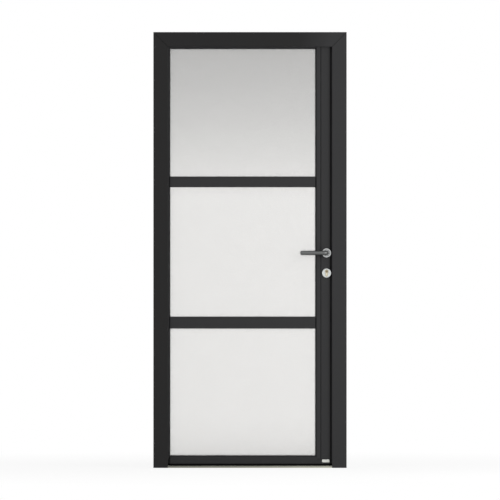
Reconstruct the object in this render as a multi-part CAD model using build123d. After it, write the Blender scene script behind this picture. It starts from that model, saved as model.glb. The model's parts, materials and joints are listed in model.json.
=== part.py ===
from build123d import *
import os

# Glazed aluminium entrance door with its frame, opening into the room.
# X runs right as seen from outside, Y into the room, Z up.
# The origin is under the middle of the threshold. All sizes are in millimetres.

# Whole door
WIDTH = 960.0
HEIGHT = 2165.0
OVERRUN = 5.0
SAME_POINT = 0.01

# Depth of the sections
FRAME_DEPTH = 76.0
LIP_DEPTH = 16.0
BREAK_DEPTH = 18.0
INNER_SHELL_DEPTH = 22.0
LEAF_SETBACK = 4.0
WALL = 2.0
EDGE_ROUND = 1.2

FRAME_FRONT = -FRAME_DEPTH / 2
FRAME_BACK = FRAME_DEPTH / 2
LIP_BACK = FRAME_FRONT + LIP_DEPTH
BREAK_BACK = FRAME_BACK - INNER_SHELL_DEPTH
BREAK_FRONT = BREAK_BACK - BREAK_DEPTH
LEAF_FRONT = LIP_BACK + LEAF_SETBACK
LEAF_BACK = FRAME_BACK
LEAF_MIDDLE = (LEAF_FRONT + LEAF_BACK) / 2

# Thermal strips and the dovetail grooves that hold them
STRIP_NECK = 2.5
STRIP_FOOT = 4.0
STRIP_BITE = 2.5
STRIP_INSET = 6.0
GROOVE_WALL = STRIP_BITE + WALL

# Hardware channel along the facing edges of frame and leaf
CHANNEL_DEPTH = 3.0
CHANNEL_LAND = 4.0
CHANNEL_FRONT = BREAK_FRONT - CHANNEL_LAND
CHANNEL_BACK = BREAK_BACK + CHANNEL_LAND

# Frame section, measured from the wall side towards the opening
FRAME_FACE = 72.3
FRAME_BODY = 34.0
FRAME_STRIPS = (STRIP_INSET, FRAME_BODY - CHANNEL_DEPTH - STRIP_INSET)
FRAME_SEAL_PLACE = 62.5
FRAME_SEAL_WIDTH = 8.0
SEAL_FOOT = 4.0
SEAL_BITE = 2.5
SEAL_CREST = 5.0
SEAL_GAP = 0.3
CLEAT_ARM = 90.0
CLEAT_FIT = 0.1

# Threshold
THRESHOLD_HEIGHT = 11.0
SILL_NOSE = 7.0
SILL_BEVEL = 8.0
SILL_WALL = 2.0
SILL_BAR_DEPTH = 24.0
SILL_BREAK_FRONT = CHANNEL_FRONT
SILL_BREAK_BACK = SILL_BREAK_FRONT + SILL_BAR_DEPTH

# Leaf outline and its sections
LEAF_GAP = 4.0
FLOOR_GAP = 9.0
SASH_TUBE = 26.0
SASH_LEG = 13.0
SASH_STRIPS = (CHANNEL_DEPTH + STRIP_INSET, SASH_TUBE - STRIP_INSET)
RAIL_TUBE = 23.0
RAIL_LEG = 12.0
RAIL_STRIP_INSET = 5.0
RAIL_STRIPS = (RAIL_STRIP_INSET, RAIL_TUBE - RAIL_STRIP_INSET)
LEG_THICK = 6.0
HINGE_END_NOTCH = 44.0

# Lock stile, as wide as its lock needs
FACEPLATE_THICK = 3.0
CASE_DEPTH = 87.0
CASE_MARGIN = 8.5
LOCK_TUBE = FACEPLATE_THICK + CASE_DEPTH + CASE_MARGIN
LOCK_EDGE_INSET = 12.5
LOCK_GLASS_INSET = 4.5
LOCK_STRIPS = (LOCK_EDGE_INSET, LOCK_TUBE - LOCK_GLASS_INSET)
LOCK_REBATE = 43.6
STILE_GROOVE_INSET = 8.5
STILE_GROOVE_PLACE = LOCK_TUBE - STILE_GROOVE_INSET
STILE_GROOVE_WIDTH = 3.5
STILE_GROOVE_DEPTH = 3.0

LEAF_LEFT = -WIDTH / 2 + FRAME_BODY + LEAF_GAP
LEAF_RIGHT = -LEAF_LEFT
LEAF_TOP = HEIGHT - FRAME_BODY - LEAF_GAP
LEAF_BOTTOM = THRESHOLD_HEIGHT + FLOOR_GAP
TUBE_LEFT = LEAF_LEFT + SASH_TUBE
TUBE_RIGHT = LEAF_RIGHT - LOCK_TUBE
TUBE_TOP = LEAF_TOP - SASH_TUBE
TUBE_BOTTOM = LEAF_BOTTOM + RAIL_TUBE
LEG_LEFT = TUBE_LEFT + SASH_LEG
LEG_RIGHT = TUBE_RIGHT - SASH_LEG
LEG_TOP = TUBE_TOP - SASH_LEG
LEG_BOTTOM = TUBE_BOTTOM + RAIL_LEG
LEG_BACK = LEAF_FRONT + LEG_THICK

# Glass, its gaskets and beads
SIGHT_GASKET = 6.0
GASKET_THICK = 3.0
GASKET_NOSE = 3.5
GASKET_FLAT = 1.0
PANE_THICK = 4.0
PANE_GAP = 16.0
GLASS_CLEAR = 4.0
SPACER_INSET = 3.0
SPACER_WIDTH = 11.0
BEAD_WIDTH = 20.0
BEAD_WALL = 1.6
BEAD_BEVEL = 4.0
BLOCK_LENGTH = 100.0
BLOCK_FROM_CORNER = 90.0

OUTER_PANE_FRONT = LEG_BACK + GASKET_THICK
OUTER_PANE_BACK = OUTER_PANE_FRONT + PANE_THICK
INNER_PANE_FRONT = OUTER_PANE_BACK + PANE_GAP
INNER_PANE_BACK = INNER_PANE_FRONT + PANE_THICK
BEAD_FRONT = INNER_PANE_BACK + GASKET_THICK

# Glazing bars
UPPER_BAR_DROP = 743.7
UPPER_BAR_HEIGHT = 53.0
LOWER_BAR_Z = 721.7
LOWER_BAR_HEIGHT = 59.5
BAR_THICK = 9.0
BAR_BEVEL = 1.5
UPPER_BAR_Z = HEIGHT - UPPER_BAR_DROP

# Seals that ride on the leaf
REBATE_SEAL_INSET = 24.0
REBATE_SEAL_BULB = 10.0
REBATE_SEAL_FOOT = 18.0
REBATE_SEAL_FOOT_HEIGHT = 6.0
SWEEP_INSET = 6.0
SWEEP_BASE = 1.5
SWEEP_MARGIN = 2.0
FIN_THICK = 2.5

# Hinges on the room side
HINGE_FLOOR_HEIGHT = 220.0
HINGE_DROP = 220.0
HINGE_LENGTH = 100.0
HINGE_AXIS_OUT = 12.5
BARREL_RADIUS = 9.0
PIN_RADIUS = 5.0
PIN_CLEAR = 0.05
PIN_END_COVER = 3.0
COLLAR_THICK = 1.0
COLLAR_RADIUS = 8.0
KNUCKLE_GAP = 0.3
PLATE_THICK = 3.0
PLATE_WIDTH = 31.0
PLATE_GAP = 3.0
WEB_WIDTH = 15.0
WEB_RISE = 5.0
HINGE_X = LEAF_LEFT - LEAF_GAP / 2
HINGE_Y = LEAF_BACK + HINGE_AXIS_OUT
TOP_HINGE_HEIGHT = HEIGHT - HINGE_DROP
MIDDLE_HINGE_HEIGHT = (HINGE_FLOOR_HEIGHT + TOP_HINGE_HEIGHT) / 2
HINGE_HEIGHTS = (HINGE_FLOOR_HEIGHT, MIDDLE_HINGE_HEIGHT, TOP_HINGE_HEIGHT)

# Lock, faceplate and bolts
BACKSET = 61.0
LEVER_Z = 1068.0
LEVER_TO_PLUG = 92.0
BOLT_Y = (BREAK_FRONT + BREAK_BACK) / 2
FACEPLATE_FIT = 0.3
FACEPLATE_BOTTOM = 250.0
FACEPLATE_DROP = 215.0
CASE_THICK = 16.0
CASE_RISE = 87.0
CASE_HEIGHT = 250.0
BOLT_CLEAR = 0.3
LATCH_HEIGHT = 30.0
LATCH_THICK = 12.0
LATCH_PROJECTION = 12.0
LATCH_LENGTH = 47.0
LATCH_BEVEL = 9.0
POCKET_SPARE = 1.0
DEADBOLT_DROP = 56.0
DEADBOLT_HEIGHT = 36.0
DEADBOLT_THICK = 14.0
DEADBOLT_LENGTH = 38.0
BOLT_SINK = 0.5
BOLT_BEVEL = 1.5
BOLT_THROW = 20.0
END_BOLT_FLOOR_HEIGHT = 400.0
END_BOLT_DROP = 415.0
END_BOLT_RADIUS = 7.0
END_BOLT_LENGTH = 40.0
END_CASE_DEPTH = 44.0
END_CASE_HEIGHT = 70.0
ROD_THICK = 2.6
ROD_WIDTH = 14.0
ROD_TRAVEL = 18.0
ROD_SPARE = 2.0
ROD_GAP = 0.2
STRIKE_MARGIN = 22.0

LOCK_X = LEAF_RIGHT - BACKSET
PLUG_Z = LEVER_Z - LEVER_TO_PLUG
DEADBOLT_Z = LEVER_Z - DEADBOLT_DROP
CASE_FRONT = LEAF_RIGHT - FACEPLATE_THICK
CASE_BACK = CASE_FRONT - CASE_DEPTH
CASE_TOP = LEVER_Z + CASE_RISE
CASE_BOTTOM = CASE_TOP - CASE_HEIGHT
BOLT_TIP = LEAF_RIGHT - BOLT_SINK
FACEPLATE_TOP = HEIGHT - FACEPLATE_DROP
END_BOLT_HEIGHTS = (END_BOLT_FLOOR_HEIGHT, HEIGHT - END_BOLT_DROP)

# Levers, roses and spindle
ROSE_RADIUS = 23.0
ROSE_THICK = 8.0
ROSE_BEVEL = 1.5
ROSE_RIM = 6.0
ROSE_DISH = 2.0
ROSE_COLLAR = 4.0
LEVER_RADIUS = 10.5
LEVER_LENGTH = 131.0
LEVER_REACH = 44.0
LEVER_BEND = 14.0
LEVER_TIP_ROUND = 7.0
NECK_RADIUS = 9.0
NECK_CLEAR = 0.1
NECK_SINK = 6.0
NECK_GAP = 0.5
SPINDLE_SIDE = 8.0
SPINDLE_FIT = 0.2
SPINDLE_BITE = 20.0
FOLLOWER_RADIUS = 10.0
FOLLOWER_CLEAR = 0.05
STILE_BORE_RADIUS = 10.5

# Key cylinder
CYLINDER_RADIUS = 8.5
CYLINDER_LEG = 10.0
CYLINDER_HEIGHT = 33.0
CYLINDER_PROUD = 1.0
CYLINDER_FIT = 0.3
CYLINDER_ROSE_GAP = 1.0
PLUG_RADIUS = 6.5
PLUG_CLEAR = 0.05
PLUG_PROUD = 0.4
CAM_WIDTH = 8.0
CAM_SIDE_CLEAR = 0.2
CAM_REACH = 15.0
CAM_TAB = 8.0
CAM_SWEEP_CLEAR = 1.0
KEYWAY_WIDTH = 2.4
KEYWAY_HEIGHT = 8.6
KEYWAY_DEPTH = 18.0
TURN_LENGTH = 30.0
TURN_WIDTH = 11.0
TURN_DEPTH = 16.0
TURN_GAP = 2.0
TURN_BEVEL = 1.5

# Wall fixings through the inner shells
FIXING_RADIUS = 4.0
FIXING_ACCESS_RADIUS = 7.0
FIXING_FLOOR_HEIGHT = 400.0
FIXING_DROP = 405.0
FIXING_INSET = 180.0
FIXING_HEIGHTS = (FIXING_FLOOR_HEIGHT, HEIGHT - FIXING_DROP)
FIXING_ACROSS = WIDTH / 2 - FIXING_INSET
FIXING_Y = FRAME_BACK - INNER_SHELL_DEPTH / 2


# Drawing planes and small shapes

def from_left(edge):
    return lambda across, depth: (edge + across, depth)


def from_right(edge):
    return lambda across, depth: (edge - across, depth)


def from_top(edge):
    return lambda across, depth: (depth, edge - across)


def from_bottom(edge):
    return lambda across, depth: (depth, edge + across)


def along_x(face, x0, x1):
    plane = Plane(origin=(x0, 0, 0), x_dir=(0, 1, 0), z_dir=(1, 0, 0))
    return extrude(plane * face, amount=x1 - x0)


def along_y(face, y0, y1):
    plane = Plane(origin=(0, y1, 0), x_dir=(1, 0, 0), z_dir=(0, -1, 0))
    return extrude(plane * face, amount=y1 - y0)


def along_z(face, z0, z1):
    return extrude(Pos(0, 0, z0) * face, amount=z1 - z0)


def polygon(points):
    return make_face(Polyline(*points, close=True))


def profile(place, outline, chambers=(), rounded=(), radius=EDGE_ROUND):
    """A section drawn in (across, depth) sizes, with hollow chambers and rounded corners."""
    face = polygon([place(*point) for point in outline])
    soft = [Vector(*place(*point)) for point in rounded]
    corners = [v for v in face.vertices() if any((Vector(*v) - s).length < SAME_POINT for s in soft)]
    if corners:
        face = fillet(corners, radius)
    for chamber in chambers:
        face -= polygon([place(*point) for point in chamber])
    return face


def oblong(a0, a1, d0, d1):
    return [(a0, d0), (a1, d0), (a1, d1), (a0, d1)]


def block(x0, x1, y0, y1, z0, z1):
    centre = Pos((x0 + x1) / 2, (y0 + y1) / 2, (z0 + z1) / 2)
    return centre * Box(abs(x1 - x0), abs(y1 - y0), abs(z1 - z0))


def disc(x, z, radius, y0, y1):
    return along_y(Pos(x, z) * Circle(radius), y0, y1)


def mitre(part, corner_x, corner_z, lean, keep):
    """Cut a member at 45 degrees through a corner. Keep.TOP is the side of the horizontal member."""
    return split(part, bisect_by=Plane(origin=(corner_x, 0, corner_z), z_dir=(lean, 0, 1)), keep=keep)


def to_room_side(part):
    """The twin of an outside piece on the room side of the leaf."""
    return mirror(part, about=Plane.XZ.offset(-LEAF_MIDDLE))


# Sections in (across, depth)

def dovetail(place, depth, bite):
    return [
        (place - STRIP_NECK / 2, depth),
        (place - STRIP_FOOT / 2, depth + bite),
        (place + STRIP_FOOT / 2, depth + bite),
        (place + STRIP_NECK / 2, depth),
    ]


def dovetails(places, depth, bite):
    return [point for place in places for point in dovetail(place, depth, bite)]


def strip(place, front=BREAK_FRONT, back=BREAK_BACK):
    lower = dovetail(place, front, -STRIP_BITE)
    upper = dovetail(place, back, STRIP_BITE)
    return lower + upper[::-1]


def frame_outer_section(place, seal_groove):
    seal = []
    if seal_groove:
        near = FRAME_SEAL_PLACE - SEAL_FOOT / 2
        far = FRAME_SEAL_PLACE + SEAL_FOOT / 2
        floor = LIP_BACK - SEAL_BITE
        seal = [(far, LIP_BACK), (far, floor), (near, floor), (near, LIP_BACK)]
    rim = FRAME_BODY - CHANNEL_DEPTH
    outline = [
        (0, FRAME_FRONT),
        (FRAME_FACE, FRAME_FRONT),
        (FRAME_FACE, LIP_BACK),
        *seal,
        (FRAME_BODY, LIP_BACK),
        (FRAME_BODY, CHANNEL_FRONT),
        (rim, CHANNEL_FRONT),
        (rim, BREAK_FRONT),
        *dovetails(FRAME_STRIPS, BREAK_FRONT, -STRIP_BITE)[::-1],
        (0, BREAK_FRONT),
    ]
    top = FRAME_FRONT + WALL
    body = oblong(WALL, FRAME_BODY - WALL, top, CHANNEL_FRONT - WALL)
    lip = oblong(FRAME_BODY, FRAME_FACE - WALL, top, LIP_BACK - SEAL_BITE - WALL)
    soft = [(0, FRAME_FRONT), (FRAME_FACE, FRAME_FRONT)]
    return profile(place, outline, [body, lip], soft)


def frame_inner_section(place):
    rim = FRAME_BODY - CHANNEL_DEPTH
    outline = [
        (0, BREAK_BACK),
        *dovetails(FRAME_STRIPS, BREAK_BACK, STRIP_BITE),
        (rim, BREAK_BACK),
        (rim, CHANNEL_BACK),
        (FRAME_BODY, CHANNEL_BACK),
        (FRAME_BODY, FRAME_BACK),
        (0, FRAME_BACK),
    ]
    chamber = oblong(WALL, FRAME_BODY - WALL, CHANNEL_BACK + WALL, FRAME_BACK - WALL)
    return profile(place, outline, [chamber], [(0, FRAME_BACK), (FRAME_BODY, FRAME_BACK)])


def sash_outer_section(place):
    """Hinge stile and top rail: a tube with a leg that holds the glass from outside."""
    outline = [
        (0, LEAF_FRONT),
        (SASH_TUBE + SASH_LEG, LEAF_FRONT),
        (SASH_TUBE + SASH_LEG, LEG_BACK),
        (SASH_TUBE, LEG_BACK),
        (SASH_TUBE, BREAK_FRONT),
        *dovetails(SASH_STRIPS, BREAK_FRONT, -STRIP_BITE)[::-1],
        (CHANNEL_DEPTH, BREAK_FRONT),
        (CHANNEL_DEPTH, CHANNEL_FRONT),
        (0, CHANNEL_FRONT),
    ]
    chamber = oblong(WALL, SASH_TUBE - WALL, LEAF_FRONT + WALL, CHANNEL_FRONT - WALL)
    return profile(place, outline, [chamber], [(SASH_TUBE + SASH_LEG, LEAF_FRONT)])


def sash_inner_section(place, tube, strips):
    outline = [
        (CHANNEL_DEPTH, BREAK_BACK),
        *dovetails(strips, BREAK_BACK, STRIP_BITE),
        (tube, BREAK_BACK),
        (tube, LEAF_BACK),
        (0, LEAF_BACK),
        (0, CHANNEL_BACK),
        (CHANNEL_DEPTH, CHANNEL_BACK),
    ]
    chamber = oblong(WALL, tube - WALL, CHANNEL_BACK + WALL, LEAF_BACK - WALL)
    return profile(place, outline, [chamber], [(0, LEAF_BACK)])


def lock_outer_section(place):
    """Lock stile: a face with a fine groove, stepped back at the rebate for its seal."""
    groove_near = STILE_GROOVE_PLACE - STILE_GROOVE_WIDTH / 2
    groove_far = STILE_GROOVE_PLACE + STILE_GROOVE_WIDTH / 2
    outline = [
        (LOCK_REBATE, LEAF_FRONT),
        (groove_near, LEAF_FRONT),
        (STILE_GROOVE_PLACE, LEAF_FRONT + STILE_GROOVE_DEPTH),
        (groove_far, LEAF_FRONT),
        (LOCK_TUBE + SASH_LEG, LEAF_FRONT),
        (LOCK_TUBE + SASH_LEG, LEG_BACK),
        (LOCK_TUBE, LEG_BACK),
        (LOCK_TUBE, BREAK_FRONT),
        *dovetails(LOCK_STRIPS, BREAK_FRONT, -STRIP_BITE)[::-1],
        (CHANNEL_DEPTH, BREAK_FRONT),
        (CHANNEL_DEPTH, CHANNEL_FRONT),
        (LOCK_REBATE, CHANNEL_FRONT),
    ]
    chamber = oblong(LOCK_REBATE + WALL, groove_near - WALL, LEAF_FRONT + WALL, CHANNEL_FRONT - WALL)
    soft = [(LOCK_REBATE, LEAF_FRONT), (LOCK_TUBE + SASH_LEG, LEAF_FRONT)]
    return profile(place, outline, [chamber], soft)


def rail_outer_section(place):
    outline = [
        (0, LEAF_FRONT),
        (RAIL_TUBE + RAIL_LEG, LEAF_FRONT),
        (RAIL_TUBE + RAIL_LEG, LEG_BACK),
        (RAIL_TUBE, LEG_BACK),
        (RAIL_TUBE, BREAK_FRONT),
        *dovetails(RAIL_STRIPS, BREAK_FRONT, -STRIP_BITE)[::-1],
        (0, BREAK_FRONT),
    ]
    chamber = oblong(WALL, RAIL_TUBE - WALL, LEAF_FRONT + WALL, CHANNEL_FRONT - WALL)
    return profile(place, outline, [chamber], [(0, LEAF_FRONT), (RAIL_TUBE + RAIL_LEG, LEAF_FRONT)])


def rail_inner_section(place):
    outline = [
        (0, BREAK_BACK),
        *dovetails(RAIL_STRIPS, BREAK_BACK, STRIP_BITE),
        (RAIL_TUBE, BREAK_BACK),
        (RAIL_TUBE, LEAF_BACK),
        (0, LEAF_BACK),
    ]
    chamber = oblong(WALL, RAIL_TUBE - WALL, CHANNEL_BACK + WALL, LEAF_BACK - WALL)
    return profile(place, outline, [chamber], [(0, LEAF_BACK)])


# Frame

def jamb(face, lean, bottom=0):
    member = along_z(face, bottom, HEIGHT)
    return mitre(member, -lean * WIDTH / 2, HEIGHT, lean, Keep.BOTTOM)


def head(face, right=WIDTH / 2):
    member = along_x(face, -WIDTH / 2, right)
    member = mitre(member, -WIDTH / 2, HEIGHT, 1, Keep.TOP)
    if right == WIDTH / 2:
        member = mitre(member, WIDTH / 2, HEIGHT, -1, Keep.TOP)
    return member


def fixing_hole(side, z):
    """One wall fixing through a jamb: a screw hole at the wall, an access hole at the rebate."""
    wall_x = side * WIDTH / 2
    rebate_x = side * (WIDTH / 2 - FRAME_BODY)
    screw = along_x(Pos(FIXING_Y, z) * Circle(FIXING_RADIUS), wall_x - OVERRUN, wall_x + OVERRUN)
    access = Pos(FIXING_Y, z) * Circle(FIXING_ACCESS_RADIUS)
    return screw + along_x(access, rebate_x - OVERRUN, rebate_x + OVERRUN)


def head_fixing_hole(x):
    screw = along_z(Pos(x, FIXING_Y) * Circle(FIXING_RADIUS), HEIGHT - OVERRUN, HEIGHT + OVERRUN)
    rebate_z = HEIGHT - FRAME_BODY
    access = along_z(Pos(x, FIXING_Y) * Circle(FIXING_ACCESS_RADIUS), rebate_z - OVERRUN, rebate_z + OVERRUN)
    return screw + access


def bolt_windows():
    """Free space that latch and bolts need in the lock jamb."""
    near = WIDTH / 2 - FRAME_BODY
    far = near + LATCH_PROJECTION + BOLT_THROW
    front = BOLT_Y - CASE_THICK / 2
    back = BOLT_Y + CASE_THICK / 2
    spans = [(CASE_BOTTOM, CASE_TOP)]
    spans += [(z - END_CASE_HEIGHT / 2, z + END_CASE_HEIGHT / 2) for z in END_BOLT_HEIGHTS]
    return [block(near - OVERRUN, far, front - OVERRUN, back + OVERRUN, z0, z1) for z0, z1 in spans]


def build_frame(nodes):
    left, right, top = from_left(-WIDTH / 2), from_right(WIDTH / 2), from_top(HEIGHT)
    nodes["hinge_jamb_outer_shell"] = jamb(frame_outer_section(left, True), 1)
    nodes["lock_jamb_outer_shell"] = jamb(frame_outer_section(right, False), -1)
    nodes["head_outer_shell"] = head(frame_outer_section(top, True))
    hinge_inner = jamb(frame_inner_section(left), 1)
    lock_inner = jamb(frame_inner_section(right), -1)
    for z in FIXING_HEIGHTS:
        hinge_inner -= fixing_hole(-1, z)
        lock_inner -= fixing_hole(1, z)
    head_inner = head(frame_inner_section(top))
    for x in (-FIXING_ACROSS, FIXING_ACROSS):
        head_inner -= head_fixing_hole(x)
    nodes["hinge_jamb_inner_shell"] = hinge_inner
    nodes["lock_jamb_inner_shell"] = lock_inner
    nodes["head_inner_shell"] = head_inner
    strips = []
    for place in FRAME_STRIPS:
        strips.append(jamb(profile(left, strip(place)), 1))
        strips.append(head(profile(top, strip(place))))
    wall_strip, rebate_strip = [jamb(profile(right, strip(place)), -1) for place in FRAME_STRIPS]
    for window in bolt_windows():
        rebate_strip -= window
    nodes["frame_thermal_strips"] = strips + [wall_strip, rebate_strip]
    nodes["frame_corner_cleats"] = frame_cleats()
    nodes["frame_seal"] = frame_seal()


def cleat(corner_x, corner_z, lean, near, far, front, back):
    """An angle that fills the chambers of two members at a mitre."""
    arm = near + CLEAT_ARM

    def x(across):
        return corner_x + lean * across

    upright = block(x(near), x(far), front, back, corner_z - arm, corner_z - near)
    across = block(x(near), x(arm), front, back, corner_z - far, corner_z - near)
    return upright + across


def frame_cleats():
    near = WALL + CLEAT_FIT
    far = FRAME_BODY - WALL - CLEAT_FIT
    depths = [
        (FRAME_FRONT + WALL + CLEAT_FIT, CHANNEL_FRONT - WALL - CLEAT_FIT),
        (CHANNEL_BACK + WALL + CLEAT_FIT, FRAME_BACK - WALL - CLEAT_FIT),
    ]
    cleats = []
    for lean in (1, -1):
        for front, back in depths:
            cleats.append(cleat(-lean * WIDTH / 2, HEIGHT, lean, near, far, front, back))
    return cleats


def frame_seal():
    half = FRAME_SEAL_WIDTH / 2
    foot = SEAL_FOOT / 2
    crest = SEAL_CREST / 2
    tip = LEAF_FRONT - SEAL_GAP
    shape = [
        (-foot, LIP_BACK - SEAL_BITE),
        (foot, LIP_BACK - SEAL_BITE),
        (foot, LIP_BACK),
        (half, LIP_BACK),
        (crest, tip),
        (-crest, tip),
        (-half, LIP_BACK),
        (-foot, LIP_BACK),
    ]
    outline = [(FRAME_SEAL_PLACE + across, depth) for across, depth in shape]
    upright = jamb(profile(from_left(-WIDTH / 2), outline), 1, THRESHOLD_HEIGHT)
    across = head(profile(from_top(HEIGHT), outline), WIDTH / 2 - FRAME_FACE)
    return upright + across


def build_threshold(nodes):
    place = from_bottom(0)
    middle = THRESHOLD_HEIGHT / 2
    top = THRESHOLD_HEIGHT
    half = WIDTH / 2 - FRAME_BODY
    outer = [
        (0, FRAME_FRONT),
        (SILL_NOSE, FRAME_FRONT),
        (top, FRAME_FRONT + SILL_BEVEL),
        (top, SILL_BREAK_FRONT),
        *dovetail(middle, SILL_BREAK_FRONT, -STRIP_BITE)[::-1],
        (0, SILL_BREAK_FRONT),
    ]
    inner = [
        (0, SILL_BREAK_BACK),
        *dovetail(middle, SILL_BREAK_BACK, STRIP_BITE),
        (top, SILL_BREAK_BACK),
        (top, FRAME_BACK - SILL_BEVEL),
        (SILL_NOSE, FRAME_BACK),
        (0, FRAME_BACK),
    ]
    hollow = oblong(
        SILL_WALL,
        top - SILL_WALL,
        FRAME_FRONT + SILL_BEVEL + SILL_WALL,
        SILL_BREAK_FRONT - GROOVE_WALL,
    )
    inner_hollow = oblong(
        SILL_WALL,
        top - SILL_WALL,
        SILL_BREAK_BACK + GROOVE_WALL,
        FRAME_BACK - SILL_BEVEL - SILL_WALL,
    )
    bar = [
        (0, SILL_BREAK_FRONT),
        *dovetail(middle, SILL_BREAK_FRONT, -STRIP_BITE),
        (top, SILL_BREAK_FRONT),
        (top, SILL_BREAK_BACK),
        *dovetail(middle, SILL_BREAK_BACK, STRIP_BITE)[::-1],
        (0, SILL_BREAK_BACK),
    ]
    bar_hollow = oblong(
        SILL_WALL,
        top - SILL_WALL,
        SILL_BREAK_FRONT + SILL_WALL,
        SILL_BREAK_BACK - SILL_WALL,
    )
    outer_sill = along_x(profile(place, outer, [hollow]), -half, half)
    for side in (-1, 1):
        lip = side * (WIDTH / 2 - FRAME_FACE)
        end = side * (half + OVERRUN)
        outer_sill -= block(lip, end, FRAME_FRONT - OVERRUN, LIP_BACK, -OVERRUN, top + OVERRUN)
    nodes["threshold_outer_sill"] = outer_sill
    nodes["threshold_inner_sill"] = along_x(profile(place, inner, [inner_hollow]), -half, half)
    nodes["threshold_thermal_bar"] = along_x(profile(place, bar, [bar_hollow]), -half, half)


# Leaf

def build_sash(nodes):
    left, right = from_left(LEAF_LEFT), from_right(LEAF_RIGHT)
    top, bottom = from_top(LEAF_TOP), from_bottom(LEAF_BOTTOM)
    corner = (LEAF_LEFT, LEAF_TOP, 1)

    def hinge_stile(face):
        return mitre(along_z(face, TUBE_BOTTOM, LEAF_TOP), *corner, Keep.BOTTOM)

    def top_rail(face):
        return mitre(along_x(face, LEAF_LEFT, TUBE_RIGHT), *corner, Keep.TOP)

    def lock_stile(face):
        return along_z(face, TUBE_BOTTOM, LEAF_TOP)

    def bottom_rail(face):
        return along_x(face, LEAF_LEFT, LEAF_RIGHT)

    nodes["hinge_stile_outer_shell"] = hinge_stile(sash_outer_section(left))
    nodes["hinge_stile_inner_shell"] = hinge_stile(sash_inner_section(left, SASH_TUBE, SASH_STRIPS))
    leg_end = block(
        LEG_RIGHT,
        TUBE_RIGHT + OVERRUN,
        LEAF_FRONT - OVERRUN,
        BREAK_BACK,
        LEG_TOP - OVERRUN,
        TUBE_TOP,
    )
    nodes["top_rail_outer_shell"] = top_rail(sash_outer_section(top)) - leg_end
    nodes["top_rail_inner_shell"] = top_rail(sash_inner_section(top, SASH_TUBE, SASH_STRIPS))
    leg_top = block(
        LEG_RIGHT - OVERRUN,
        TUBE_RIGHT,
        LEAF_FRONT - OVERRUN,
        BREAK_BACK,
        TUBE_TOP,
        LEAF_TOP + OVERRUN,
    )
    bores = lock_bores()
    nodes["lock_stile_outer_shell"] = lock_stile(lock_outer_section(right)) - leg_top - bores
    nodes["lock_stile_inner_shell"] = lock_stile(sash_inner_section(right, LOCK_TUBE, LOCK_STRIPS)) - bores
    nodes["bottom_rail_outer_shell"] = bottom_rail(rail_outer_section(bottom)) - rail_end_cuts()
    nodes["bottom_rail_inner_shell"] = bottom_rail(rail_inner_section(bottom))
    strips = []
    for place in SASH_STRIPS:
        strips.append(hinge_stile(profile(left, strip(place))))
        strips.append(top_rail(profile(top, strip(place))))
    for place in RAIL_STRIPS:
        strips.append(bottom_rail(profile(bottom, strip(place))))
    edge_strip, glass_strip = [lock_stile(profile(right, strip(place))) for place in LOCK_STRIPS]
    for window in case_windows():
        edge_strip -= window
    nodes["leaf_thermal_strips"] = strips + [edge_strip, glass_strip]
    near, far = WALL + CLEAT_FIT, SASH_TUBE - WALL - CLEAT_FIT
    outer_depth = (LEAF_FRONT + WALL + CLEAT_FIT, CHANNEL_FRONT - WALL - CLEAT_FIT)
    inner_depth = (CHANNEL_BACK + WALL + CLEAT_FIT, LEAF_BACK - WALL - CLEAT_FIT)
    cleats = [cleat(*corner[:2], 1, near, far, *depth) for depth in (outer_depth, inner_depth)]
    nodes["leaf_corner_cleats"] = cleats


def rail_end_cuts():
    """What the bottom rail gives up at its ends: the leg under the stiles and the front of the rebates."""
    notch_left = LEAF_LEFT + HINGE_END_NOTCH
    notch_right = LEAF_RIGHT - LOCK_REBATE
    leg_top = LEG_BOTTOM + OVERRUN
    front = LEAF_FRONT - OVERRUN
    left_end, right_end = LEAF_LEFT - OVERRUN, LEAF_RIGHT + OVERRUN
    cuts = block(left_end, notch_left, front, CHANNEL_FRONT, LEAF_BOTTOM - OVERRUN, leg_top)
    cuts += block(notch_right, right_end, front, CHANNEL_FRONT, LEAF_BOTTOM - OVERRUN, leg_top)
    cuts += block(LEG_RIGHT, right_end, front, BREAK_FRONT, TUBE_BOTTOM, leg_top)
    return cuts


def lock_bores():
    """Holes through both shells of the lock stile for the spindle and the key cylinder."""
    front, back = LEAF_FRONT - OVERRUN, LEAF_BACK + OVERRUN
    bores = disc(LOCK_X, LEVER_Z, STILE_BORE_RADIUS, front, back)
    return bores + along_y(cylinder_face(CYLINDER_FIT), front, back)


def case_windows():
    """Where the strip behind the faceplate makes room for the lock and the end-bolt cases."""
    spans = [(CASE_BOTTOM, CASE_TOP)]
    spans += [(z - END_CASE_HEIGHT / 2, z + END_CASE_HEIGHT / 2) for z in END_BOLT_HEIGHTS]
    front, back = BREAK_FRONT - OVERRUN, BREAK_BACK + OVERRUN
    return [block(CASE_BACK, LEAF_RIGHT, front, back, z0, z1) for z0, z1 in spans]


def ring(outer, inner, y0, y1):
    """A flat rectangular frame in the plane of the leaf, each opening as (left, right, bottom, top)."""
    return block(*outer[:2], y0, y1, *outer[2:]) - block(
        *inner[:2], y0 - OVERRUN, y1 + OVERRUN, *inner[2:]
    )


def inset(opening, amount):
    left, right, bottom, top = opening
    return left + amount, right - amount, bottom + amount, top - amount


def opening_face(opening, y):
    left, right, bottom, top = opening
    plane = Plane(origin=((left + right) / 2, y, (bottom + top) / 2), x_dir=(1, 0, 0), z_dir=(0, -1, 0))
    return plane * Rectangle(right - left, top - bottom)


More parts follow.
